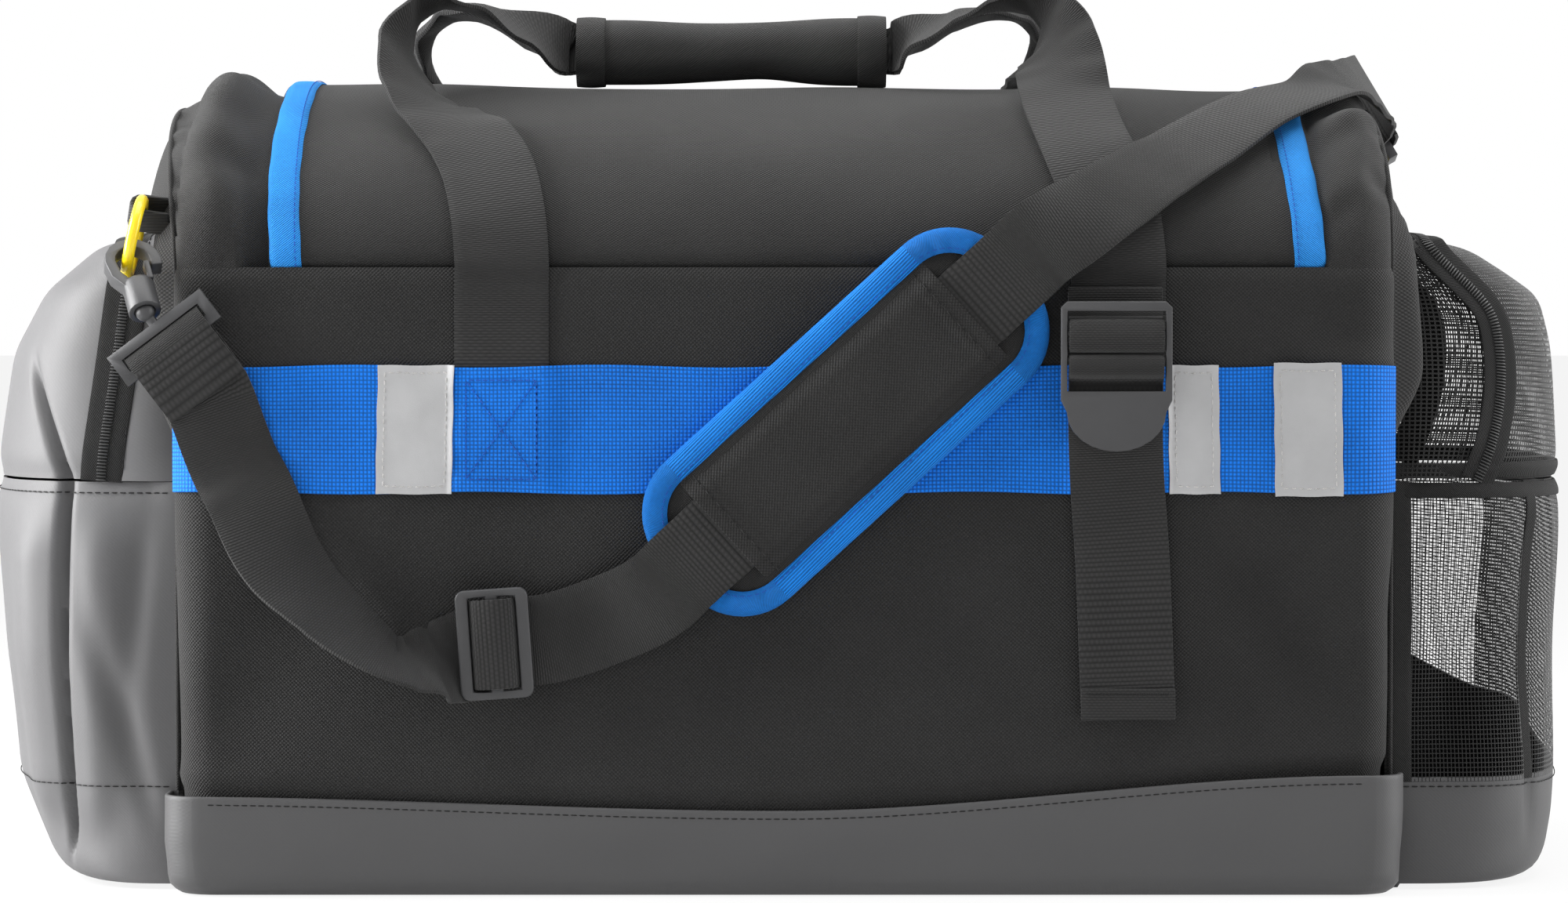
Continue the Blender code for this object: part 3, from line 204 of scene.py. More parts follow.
def sheet(name: str, columns: int, rows: int, place: Place, inside: Sequence[float] | None = None) -> Piece:
    """Add a grid and move each of its points to its place on a surface.

    Args:
        name: Name of the piece.
        columns: Cells along u.
        rows: Cells along v.
        place: Gives the places for u and v from 0 to 1.
        inside: A point that the sheet faces away from.

    Returns:
        The sheet, with a UV map in metres.
    """
    deselect()
    bpy.ops.mesh.primitive_grid_add(x_subdivisions=columns, y_subdivisions=rows, size=1)
    made = bpy.context.object
    made.name = name
    made.data.name = name
    flat = coords(made)
    u, v = flat[:, 0] + 0.5, flat[:, 1] + 0.5
    set_coords(made, place(u, v))
    line, middle = np.linspace(0, 1, 80), np.full(80, 0.5)
    width, length = run_length(place(line, middle)), run_length(place(middle, line))
    lay_uv(made, np.stack((u * width, v * length), 1))
    if inside is not None:
        face_away(made, inside)
    return made


def apply(made: Piece, kind: str, **settings: object) -> None:
    """Add a modifier with its settings and apply it."""
    step = made.modifiers.new(kind.lower(), kind)
    for key, value in settings.items():
        setattr(step, key, value)
    activate(made)
    bpy.ops.object.modifier_apply(modifier=step.name)


def thicken(made: Piece, thickness: float, offset: float = -1.0, edge: float = 0.0) -> None:
    """Give a sheet its thickness, and round its edges where an edge radius is given."""
    apply(made, "SOLIDIFY", thickness=thickness, offset=offset, use_even_offset=True)
    if edge > 0:
        apply(made, "BEVEL", width=edge, segments=2, limit_method="ANGLE", angle_limit=math.radians(50))


def smooth_shade(made: Piece, degrees: float = 40.0) -> None:
    """Shade an object smooth, apart from its sharp edges."""
    activate(made)
    bpy.ops.object.shade_smooth_by_angle(angle=math.radians(degrees))


def dress(made: Piece, material: Material, slot: str, *nodes: str) -> Piece:
    """Give a piece its finish, and let it stand for its solids."""
    made.data.materials.clear()
    made.data.materials.append(material)
    if nodes:
        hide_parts(*nodes)
    return made


def seat(made: Piece, body: str) -> Piece:
    """Let a piece move with a body, and report it."""
    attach(made, body)
    LOG.info("%s rides on %s", made.name, body)
    return made


def bend(made: Piece, first: str, second: str) -> Piece:
    """Bake a piece's transform into its points, and log that it lies between two bodies."""
    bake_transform(made)
    LOG.info("%s bends from %s to %s", made.name, first, second)
    return made


def mesh_piece(name: str, points: Array, faces: list[tuple[int, ...]]) -> Piece:
    """A piece from points and faces."""
    mesh = bpy.data.meshes.new(name)
    mesh.from_pydata(np.asarray(points, float).tolist(), [], faces)
    mesh.update()
    made = bpy.data.objects.new(name, mesh)
    bpy.context.scene.collection.objects.link(made)
    return made


def soften(points: Array, samples: int, window: float) -> Array:
    """A line resampled evenly and rounded at its corners.

    Args:
        points: The line's corners.
        samples: Points of the result.
        window: Length over which corners are averaged.

    Returns:
        The softened line, with its ends kept.
    """
    points = np.asarray(points, float)
    steps = np.concatenate(([0], np.cumsum(np.linalg.norm(np.diff(points, axis=0), axis=1))))
    even = np.linspace(0, steps[-1], samples)
    line = np.stack([np.interp(even, steps, points[:, k]) for k in range(points.shape[1])], 1)
    half = max(int(window / steps[-1] * samples / 2), 1)
    shares = np.array([min(half, k, samples - 1 - k) for k in range(samples)])
    return np.array([line[k - s : k + s + 1].mean(0) for k, s in zip(range(samples), shares)])


def smooth(stations: Sequence[Station], per: int = 8) -> list[tuple[Array, Array, float]]:
    """A smooth run through (point, facing, width) stations.

    Args:
        stations: The stations.
        per: Steps between two of them.

    Returns:
        Close stations along the smooth run.
    """
    points = np.array([s[0] for s in stations], float)
    facing = np.array([s[1] for s in stations], float)
    widths = np.array([s[2] for s in stations], float)
    ends = np.vstack((2 * points[0] - points[1], points, 2 * points[-1] - points[-2]))
    made = []
    for k in range(len(points) - 1):
        a, b, c, d = ends[k : k + 4]
        for t in np.arange(per) / per:
            place = 0.5 * (2 * b + (c - a) * t + (2 * a - 5 * b + 4 * c - d) * t**2
                           + (3 * b - a - 3 * c + d) * t**3)
            way = facing[k] + (facing[k + 1] - facing[k]) * ease(t)
            made.append((place, way / np.linalg.norm(way), widths[k] + (widths[k + 1] - widths[k]) * t))
    made.append((points[-1], facing[-1] / np.linalg.norm(facing[-1]), widths[-1]))
    return made


def ribbon(name: str, stations: Sequence[Station], thickness: float, columns: int = 8, cup: float = 0.0) -> Piece:
    """Webbing along close stations, with rounded edges.

    Args:
        name: Name of the piece.
        stations: (point, facing, width) along its middle line.
        thickness: Thickness of the webbing.
        columns: Cells across it.
        cup: Rise of its middle over its edges.

    Returns:
        The webbing, with a UV map in metres.
    """
    points = np.array([s[0] for s in stations], float)
    facing = np.array([s[1] for s in stations], float)
    widths = np.array([s[2] for s in stations], float)
    along = np.gradient(points, axis=0)
    across = np.cross(along, facing)
    across /= np.linalg.norm(across, axis=1)[:, None]
    face = np.cross(across, along)
    face /= np.linalg.norm(face, axis=1)[:, None]
    last = len(points) - 1

    def place(u: Array, v: Array) -> Array:
        k = np.rint(v * last).astype(int)
        rise = cup * (1 - np.square(2 * u - 1))
        return points[k] + across[k] * ((u - 0.5) * widths[k])[:, None] + face[k] * rise[:, None]

    made = sheet(name, columns, last, place)
    apply(made, "SOLIDIFY", thickness=thickness, offset=0.0)
    apply(made, "BEVEL", width=thickness * 0.28, segments=2, limit_method="ANGLE", angle_limit=math.radians(50))
    smooth_shade(made)
    return made


def cut_off(made: Piece, name: str, place: Array, way: Array) -> Piece:
    """Take the faces of a piece past a plane off as a piece of their own.

    Args:
        made: The piece, which keeps the rest.
        name: Name of the new piece.
        place: A point of the plane.
        way: The plane's normal, on the new piece's side.

    Returns:
        The new piece.
    """
    middles = np.empty(len(made.data.polygons) * 3, np.float32)
    made.data.polygons.foreach_get("center", middles)
    past = (middles.reshape(-1, 3) - place) @ way > 0
    activate(made)
    bpy.ops.object.mode_set(mode="EDIT")
    bpy.ops.mesh.select_mode(type="FACE")
    bpy.ops.mesh.select_all(action="DESELECT")
    bpy.ops.object.mode_set(mode="OBJECT")
    made.data.polygons.foreach_set("select", past)
    bpy.ops.object.mode_set(mode="EDIT")
    bpy.ops.mesh.separate(type="SELECTED")
    bpy.ops.object.mode_set(mode="OBJECT")
    taken = next(item for item in bpy.context.selected_objects if item is not made)
    taken.name = name
    taken.data.name = name
    return taken


def frames_along(points: Array, facing: Array, pitch: float) -> list[tuple[Array, Array, Array, Array]]:
    """Even places along a line.

    Args:
        points: The line.
        facing: The way that the surface faces at each of its points.
        pitch: Distance between two places.

    Returns:
        Place, along, across and facing for each.
    """
    steps = np.concatenate(([0], np.cumsum(np.linalg.norm(np.diff(points, axis=0), axis=1))))
    even = np.arange(pitch / 2, steps[-1], pitch)
    spots = np.stack([np.interp(even, steps, points[:, k]) for k in range(3)], 1)
    tangents = np.gradient(points, axis=0)
    found = []
    for spot, place in zip(even, spots):
        along = np.array([np.interp(spot, steps, tangents[:, k]) for k in range(3)])
        out = np.array([np.interp(spot, steps, facing[:, k]) for k in range(3)])
        along /= np.linalg.norm(along)
        across = np.cross(out, along)
        across /= np.linalg.norm(across)
        found.append((place, along, across, np.cross(along, across)))
    return found


def bead(name: str, size: tuple[float, float, float]) -> tuple[Array, list[tuple[int, ...]]]:
    """One stitch or zip tooth, modelled once: a short bar that narrows to its ends.

    Args:
        name: Name of the passing object.
        size: Length, width and height.

    Returns:
        Its points and faces.
    """
    deselect()
    bpy.ops.mesh.primitive_cylinder_add(vertices=6, radius=0.5, depth=1, rotation=(0, math.pi / 2, 0))
    made = bpy.context.object
    made.name = name
    bpy.ops.object.transform_apply(rotation=True)
    bpy.ops.object.mode_set(mode="EDIT")
    for cut in (-0.3, 0.3):
        bpy.ops.mesh.select_all(action="SELECT")
        bpy.ops.mesh.bisect(plane_co=(cut, 0, 0), plane_no=(1, 0, 0))
    bpy.ops.object.mode_set(mode="OBJECT")
    points = coords(made)
    tips = np.abs(points[:, 0]) > 0.4
    points[tips, 1:] *= 0.5
    faces = [tuple(face.vertices) for face in made.data.polygons]
    bpy.data.objects.remove(made, do_unlink=True)
    return points * np.array(size), faces


def row_of(name: str, size: tuple[float, float, float], points: Array, facing: Array, pitch: float,
           crosswise: bool = False, shift: float = 0.0) -> Piece:
    """A row of stitches or zip teeth along a line on a surface.

    Args:
        name: Name of the piece.
        size: Length, width and height of one.
        points: The line.
        facing: The way that the surface faces along it.
        pitch: Distance from one to the next.
        crosswise: Whether each lies across the line.
        shift: Distance to one side, in turn left and right.

    Returns:
        The row as one piece.
    """
    shape, sides = bead(f"{name}_bead", size)
    spots, faces = [], []
    for k, (place, along, across, out) in enumerate(frames_along(np.asarray(points), np.asarray(facing), pitch)):
        first, second = (across, -along) if crosswise else (along, across)
        middle = place + across * (shift if k % 2 else -shift)
        start = len(shape) * k
        spots.append(middle + shape[:, :1] * first + shape[:, 1:2] * second + shape[:, 2:] * out)
        faces += [tuple(start + i for i in side) for side in sides]
    made = mesh_piece(name, np.vstack(spots), faces)
    smooth_shade(made, 60)
    return made


def lattice(made: Piece, thread: float, side_thread: float) -> None:
    """Open a sheet into a net: every cell is inset by half a thread and its middle is taken out.

    Args:
        made: The sheet.
        thread: Width of the threads that face the front.
        side_thread: Width of the threads on faces turned to an end, where round threads close up.
    """
    for face in made.data.polygons:
        face.select = abs(face.normal.y) > 0.4
    activate(made)
    bpy.ops.object.mode_set(mode="EDIT")
    bpy.ops.mesh.select_mode(type="FACE")
    bpy.ops.mesh.hide(unselected=False)
    bpy.ops.mesh.select_all(action="SELECT")
    for width in (side_thread, thread):
        bpy.ops.mesh.inset(use_individual=True, thickness=width / 2)
        bpy.ops.mesh.delete(type="FACE")
        bpy.ops.mesh.select_all(action="DESELECT")
        bpy.ops.mesh.reveal(select=True)
    bpy.ops.object.mode_set(mode="OBJECT")


def loop_tube(name: str, sections: Array, closed: bool) -> Piece:
    """A tube through rows of section points, its sections closed rings.

    Args:
        name: Name of the piece.
        sections: Rings of points, one after another.
        closed: Whether the last ring meets the first.

    Returns:
        The tube, with flat ends where it is open.
    """
    rings, sides = sections.shape[:2]
    faces = []
    for r in range(rings if closed else rings - 1):
        near, far = r * sides, (r + 1) % rings * sides
        faces += [(near + k, near + (k + 1) % sides, far + (k + 1) % sides, far + k) for k in range(sides)]
    if not closed:
        faces += [tuple(range(sides)), tuple(range((rings - 1) * sides, rings * sides))]
    made = mesh_piece(name, sections.reshape(-1, 3), faces)
    activate(made)
    bpy.ops.object.mode_set(mode="EDIT")
    bpy.ops.mesh.select_all(action="SELECT")
    bpy.ops.mesh.normals_make_consistent(inside=False)
    bpy.ops.object.mode_set(mode="OBJECT")
    around = np.linspace(0, run_length(np.vstack((sections[0], sections[0][:1]))), sides)
    along = np.concatenate(([0], np.cumsum(np.linalg.norm(np.diff(sections.mean(1), axis=0), axis=1))))
    lay_uv(made, np.stack((np.tile(around, rings), np.repeat(along, sides)), 1))
    smooth_shade(made, 50)
    return made


def wire(name: str, points: Array, radius: float, closed: bool = False, sides: int = 10) -> Piece:
    """A round cord along a line.

    Args:
        name: Name of the piece.
        points: Its middle line.
        radius: Its radius.
        closed: Whether it ends where it starts.
        sides: Points round its section.

    Returns:
        The cord.
    """
    points = np.asarray(points, float)
    if closed:
        along = np.roll(points, -1, 0) - np.roll(points, 1, 0)
    else:
        along = np.gradient(points, axis=0)
    along /= np.linalg.norm(along, axis=1)[:, None]
    hint = np.array((0.3, 0.2, 0.93))
    first = np.cross(along, hint)
    first /= np.linalg.norm(first, axis=1)[:, None]
    second = np.cross(along, first)
    turns = np.arange(sides) / sides * 2 * math.pi
    rings = points[:, None] + radius * (first[:, None] * np.cos(turns)[None, :, None]
                                        + second[:, None] * np.sin(turns)[None, :, None])
    return loop_tube(name, rings, closed)


def refined(node: str, edge: float, segments: int = 3) -> Piece:
    """A copy of a solid with its facets joined and its edges rounded, as a moulding has them.

    Args:
        node: The solid.
        edge: Radius of its edges.
        segments: Steps of the rounding.

    Returns:
        The finished piece, which stands for the solid.
    """
    made = frame["nodes"][node].copy()
    made.data = made.data.copy()
    made.parent = None
    for key in list(made.keys()):
        del made[key]
    made.name = f"{node}_moulding"
    bpy.context.scene.collection.objects.link(made)
    made.hide_render = made.hide_viewport = False
    activate(made)
    bpy.ops.object.mode_set(mode="EDIT")
    bpy.ops.mesh.select_all(action="SELECT")
    bpy.ops.mesh.remove_doubles(threshold=1e-5)
    bpy.ops.mesh.dissolve_limited(angle_limit=math.radians(3))
    bpy.ops.object.mode_set(mode="OBJECT")
    apply(made, "BEVEL", width=edge, segments=segments, limit_method="ANGLE", angle_limit=math.radians(38),
          use_clamp_overlap=True)
    smooth_shade(made, 45)
    return made


# Finishes


class Graph:
    """A material's nodes, built by short calls."""

    def __init__(self, name: str) -> None:
        """Start a material with a Principled shader."""
        self.material = bpy.data.materials.new(name)
        self.material.use_nodes = True
        self.tree = self.material.node_tree
        self.shader = self.tree.nodes["Principled BSDF"]

    def set(self, **values: object) -> None:
        """Set constants on the shader's own sockets."""
        for key, value in values.items():
            self.shader.inputs[key.replace("_", " ")].default_value = value

    def node(self, kind: str) -> bpy.types.Node:
        """Add a node."""
        return self.tree.nodes.new(kind)

    def feed(self, socket: bpy.types.NodeSocket, value: object) -> None:
        """Set or link one input."""
        if isinstance(value, bpy.types.NodeSocket):
            self.tree.links.new(value, socket)
        else:
            socket.default_value = value

    def math(self, operation: str, *values: object) -> bpy.types.NodeSocket:
        """A sum, product or other sum of numbers and sockets."""
        node = self.node("ShaderNodeMath")
        node.operation = operation
        for socket, value in zip(node.inputs, values):
            self.feed(socket, value)
        return node.outputs[0]

    def surface(self, mapped: bool) -> tuple[bpy.types.NodeSocket, bpy.types.NodeSocket, bpy.types.NodeSocket]:
        """Two coordinates over the surface, and the place in space.

        Args:
            mapped: Whether the piece has a UV map; otherwise its X and Z are taken.

        Returns:
            First and second coordinate, and the place.
        """
        source = self.node("ShaderNodeTexCoord")
        split = self.node("ShaderNodeSeparateXYZ")
        self.feed(split.inputs[0], source.outputs["UV" if mapped else "Object"])
        return split.outputs[0], split.outputs[1 if mapped else 2], source.outputs["Object"]

    def noise(self, place: bpy.types.NodeSocket, scale: float, detail: float = 3.0) -> bpy.types.NodeSocket:
        """Cloudy noise from 0 to 1."""
        node = self.node("ShaderNodeTexNoise")
        self.feed(node.inputs["Vector"], place)
        node.inputs["Scale"].default_value = scale
        node.inputs["Detail"].default_value = detail
        return node.outputs["Fac"]

    def wave(self, coordinate: bpy.types.NodeSocket, pitch: float, phase: object = 0.0) -> bpy.types.NodeSocket:
        """A sine of one coordinate."""
        return self.math("SINE", self.math("MULTIPLY_ADD", coordinate, 2 * math.pi / pitch, phase))

    def blend(self, factor: bpy.types.NodeSocket, low: Colour, high: Colour) -> bpy.types.NodeSocket:
        """A colour between two by a factor."""
        node = self.node("ShaderNodeMix")
        node.data_type = "RGBA"
        self.feed(node.inputs[0], factor)
        node.inputs[6].default_value = (*low, 1)
        node.inputs[7].default_value = (*high, 1)
        return node.outputs[2]

    def colour(self, factor: bpy.types.NodeSocket, low: Colour, high: Colour) -> None:
        """Paint the shader between two colours."""
        self.feed(self.shader.inputs["Base Color"], self.blend(factor, low, high))

    def roughness(self, factor: bpy.types.NodeSocket, low: float, high: float) -> None:
        """Vary the shader's roughness between two values."""
        self.feed(self.shader.inputs["Roughness"], self.math("MULTIPLY_ADD", factor, high - low, low))

    def relief(self, height: bpy.types.NodeSocket, distance: float, strength: float = 1.0) -> None:
        """Raise the surface by a height."""
        node = self.node("ShaderNodeBump")
        node.inputs["Distance"].default_value = distance
        node.inputs["Strength"].default_value = strength
        self.feed(node.inputs["Height"], height)
        self.feed(self.shader.inputs["Normal"], node.outputs[0])


def shade(colour: Colour, factor: float) -> Colour:
    """A colour made lighter or darker."""
    return tuple(min(c * factor, 1.0) for c in colour)


@dataclass(frozen=True)
class Cloth:
    """A woven finish.

    pitch is the distance between threads, relief their height, and contrast how much darker the gaps are painted than
    the thread tops: painted shade in the gaps and painted highlight on the threads.
    """

    name: str
    colour: Colour
    pattern: Pattern
    pitch: float
    relief: float = 0.00030
    roughness: float = 0.78
    sheen: float = 0.10
    contrast: float = 0.75
    mapped: bool = True

    def threads(self, graph: Graph, u: object, v: object) -> bpy.types.NodeSocket:
        """Height of the threads, from 0 to 1.

        Args:
            graph: The material's nodes.
            u: Coordinate across the cloth.
            v: Coordinate along it.

        Returns:
            The height.
        """
        if self.pattern is Pattern.TWILL:
            diagonal = graph.math("ADD", u, graph.math("MULTIPLY", v, 0.8))
            return graph.math("MULTIPLY_ADD", graph.wave(diagonal, self.pitch), 0.5, 0.5)
        if self.pattern is Pattern.RIBBED:
            row = graph.math("FLOOR", graph.math("MULTIPLY", v, 1 / self.pitch))
            rib = graph.math("ABSOLUTE", graph.wave(v, 2 * self.pitch))
            brick = graph.wave(u, 1.7 * self.pitch, graph.math("MULTIPLY", row, math.pi))
            return graph.math("MULTIPLY", rib, graph.math("MULTIPLY_ADD", brick, 0.2, 0.8))
        product = graph.math("MULTIPLY", graph.wave(u, 2 * self.pitch), graph.wave(v, 2 * self.pitch))
        if self.pattern is Pattern.BASKET:
            return graph.math("ABSOLUTE", product)
        return graph.math("MULTIPLY_ADD", product, 0.5, 0.5)

    def make(self) -> Material:
        """Build the material."""
        graph = Graph(self.name)
        u, v, place = graph.surface(self.mapped)
        threads = self.threads(graph, u, v)
        cloud = graph.noise(place, 26.0)
        fine = graph.noise(place, 900.0, 2.0)
        # The colour follows the height of the threads and of the fine grain: painted shade in the gaps and painted
        # highlight on the raised threads; the cloud is a random tone.
        tone = graph.math("ADD", graph.math("MULTIPLY", threads, self.contrast),
                          graph.math("MULTIPLY_ADD", cloud, 0.5, -0.25))
        mixed = graph.math("ADD", tone, graph.math("MULTIPLY_ADD", fine, 0.3, 0.0))
        graph.colour(mixed, shade(self.colour, 0.35), shade(self.colour, 1.55))
        graph.roughness(fine, self.roughness - 0.08, min(self.roughness + 0.08, 1.0))
        graph.relief(graph.math("ADD", threads, graph.math("MULTIPLY", fine, 0.25)), self.relief)
        graph.set(Sheen_Weight=self.sheen, Sheen_Roughness=0.45, Specular_IOR_Level=0.2)
        return graph.material


@dataclass(frozen=True)
class Coated:
    """A smooth coated cloth with a faint weave under its skin and a cloudy, uneven tone."""

    name: str
    colour: Colour
    roughness: float = 0.57
    mapped: bool = True

    def make(self) -> Material:
        """Build the material."""
        graph = Graph(self.name)
        u, v, place = graph.surface(self.mapped)
        weave = graph.math("MULTIPLY", graph.wave(u, 0.0016), graph.wave(v, 0.0016))
        cloud = graph.noise(place, 14.0, 4.0)
        grain = graph.noise(place, 700.0, 2.0)
        graph.colour(graph.math("MULTIPLY_ADD", cloud, 0.8, 0.1), shade(self.colour, 0.82), shade(self.colour, 1.18))
        graph.roughness(graph.math("MULTIPLY_ADD", cloud, 0.7, graph.math("MULTIPLY", grain, 0.3)),
                        self.roughness - 0.07, self.roughness + 0.12)
        graph.relief(graph.math("MULTIPLY_ADD", weave, 0.25, grain), 0.00006)
        graph.set(Specular_IOR_Level=0.5, Coat_Weight=0.05, Coat_Roughness=0.4)
        return graph.material


@dataclass(frozen=True)
class Moulded:
    """A moulded plastic or enamelled finish with a fine grain; its colour is lighter on sharp edges and darker in
    hollows, the darkening painted shade.
    """

    name: str
    colour: Colour
    roughness: float = 0.42
    grain: float = 0.00005
    metallic: float = 0.0
    coat: float = 0.0
    subsurface: float = 0.0

    def make(self) -> Material:
        """Build the material."""
        graph = Graph(self.name)
        _, _, place = graph.surface(False)
        grain = graph.noise(place, 1500.0, 2.0)
        cloud = graph.noise(place, 90.0, 3.0)
        # Pointiness sets the colour: lighter on sharp edges, and darker in hollows as painted shade; the cloud adds a
        # random tone.
        edge = graph.node("ShaderNodeNewGeometry").outputs["Pointiness"]
        edges_lighter_hollows_shaded = graph.math("MULTIPLY_ADD", graph.math("SUBTRACT", edge, 0.5), 3.0, graph.math("MULTIPLY", cloud, 0.5))
        graph.colour(edges_lighter_hollows_shaded, shade(self.colour, 0.85), shade(self.colour, 1.3))
        graph.roughness(cloud, self.roughness - 0.06, self.roughness + 0.08)
        graph.relief(grain, self.grain)
        graph.set(Metallic=self.metallic, Coat_Weight=self.coat, Coat_Roughness=0.12,
                  Subsurface_Weight=self.subsurface)
        return graph.material


@dataclass(frozen=True)
class Reflective:
    """A silver reflective tape, slightly creased, its colour darker in the creases' hollows as painted shade."""

    name: str
    colour: Colour
    roughness: float = 0.45

    def make(self) -> Material:
        """Build the material."""
        graph = Graph(self.name)
        _, _, place = graph.surface(False)
        crease = graph.noise(place, 60.0, 5.0)
        glass = graph.noise(place, 2600.0, 1.0)
        # The colour follows the creases' height: lighter on their ridges, and darker in their hollows as painted shade.
        graph.colour(crease, shade(self.colour, 0.86), shade(self.colour, 1.16))
        graph.roughness(crease, self.roughness - 0.1, self.roughness + 0.1)
        graph.relief(graph.math("MULTIPLY_ADD", glass, 0.12, crease), 0.0004)
        graph.set(Metallic=0.25, Specular_IOR_Level=0.6)
        return graph.material


CHARCOAL: Colour = (0.0172, 0.0169, 0.0167)
INK: Colour = (0.014, 0.0138, 0.0136)
GRAPHITE: Colour = (0.038, 0.0375, 0.037)
WEB_BLACK: Colour = (0.022, 0.0217, 0.0215)
ROYAL: Colour = (0.003, 0.143, 0.60)
SKY: Colour = (0.004, 0.155, 0.54)
# Blue of the lid's tape: the tape's own blue painted lighter, a painted sheen of the light on the lid's top.
SKY_WITH_PAINTED_SHEEN: Colour = (0.020, 0.235, 0.75)
SLATE: Colour = (0.058, 0.0575, 0.059)
LIGHT_SLATE: Colour = (0.094, 0.093, 0.0955)
SILVER: Colour = (0.40, 0.40, 0.405)
SUN: Colour = (1.0, 0.66, 0.006)
PALE: Colour = (0.62, 0.61, 0.60)


class Finishes:
    """Every finish of the bag."""

    def __init__(self) -> None:
        """Build all materials once."""
        self.woven = Cloth("woven", CHARCOAL, Pattern.PLAIN, 0.00085, 0.0004, contrast=0.95).make()
        self.lining = Cloth("woven_free", CHARCOAL, Pattern.PLAIN, 0.00055, mapped=False).make()
        self.grip = Cloth("grip_twill", GRAPHITE, Pattern.TWILL, 0.0011).make()
        self.webbing = Cloth("webbing", WEB_BLACK, Pattern.RIBBED, 0.0012, 0.0003, 0.7, 0.10, 0.8).make()
        self.band = Cloth("blue_band", ROYAL, Pattern.BASKET, 0.0017, 0.0003, 0.7, 0.02, 0.8).make()
        self.tape = Cloth("blue_tape", SKY, Pattern.TWILL, 0.0012, 0.0003, 0.72, 0.02, 0.8).make()
        # The lid's tape takes the lighter blue: its own blue with a painted sheen of the top light.
        self.lid_tape = Cloth("blue_lid_tape", SKY_WITH_PAINTED_SHEEN, Pattern.TWILL, 0.0012, 0.0003, 0.72, 0.02, 0.8).make()
        self.zip_tape = Cloth("zip_tape", INK, Pattern.TWILL, 0.0009, 0.0002, 0.8, 0.1, 0.4).make()
        self.coated = Coated("coated", SLATE).make()
        self.pale_coated = Coated("pale_coated", LIGHT_SLATE).make()
        self.net = Cloth("net", INK, Pattern.PLAIN, 0.0005, 0.0001, 0.6, 0.2, 0.4, False).make()
        self.silver = Reflective("silver", SILVER).make()
        self.moulded = Moulded("moulded", (0.040, 0.040, 0.042)).make()
        self.yellow = Moulded("yellow", SUN, 0.28, 0.00002, 0.0, 0.3, 0.05).make()
        self.enamel = Moulded("enamel", (0.03, 0.03, 0.031), 0.32, 0.00002, 0.8).make()
        self.coil = Moulded("zip_coil", (0.02, 0.02, 0.02), 0.4).make()
        self.board = Moulded("board", (0.06, 0.06, 0.06), 0.7).make()
        self.dark_thread = Cloth("dark_thread", (0.012, 0.012, 0.012), Pattern.TWILL, 0.0006, mapped=False).make()
        self.blue_thread = Cloth("blue_thread", (0.008, 0.10, 0.50), Pattern.TWILL, 0.0006, mapped=False).make()
        self.pale_thread = Cloth("pale_thread", PALE, Pattern.TWILL, 0.0006, mapped=False).make()


# Bag's shell


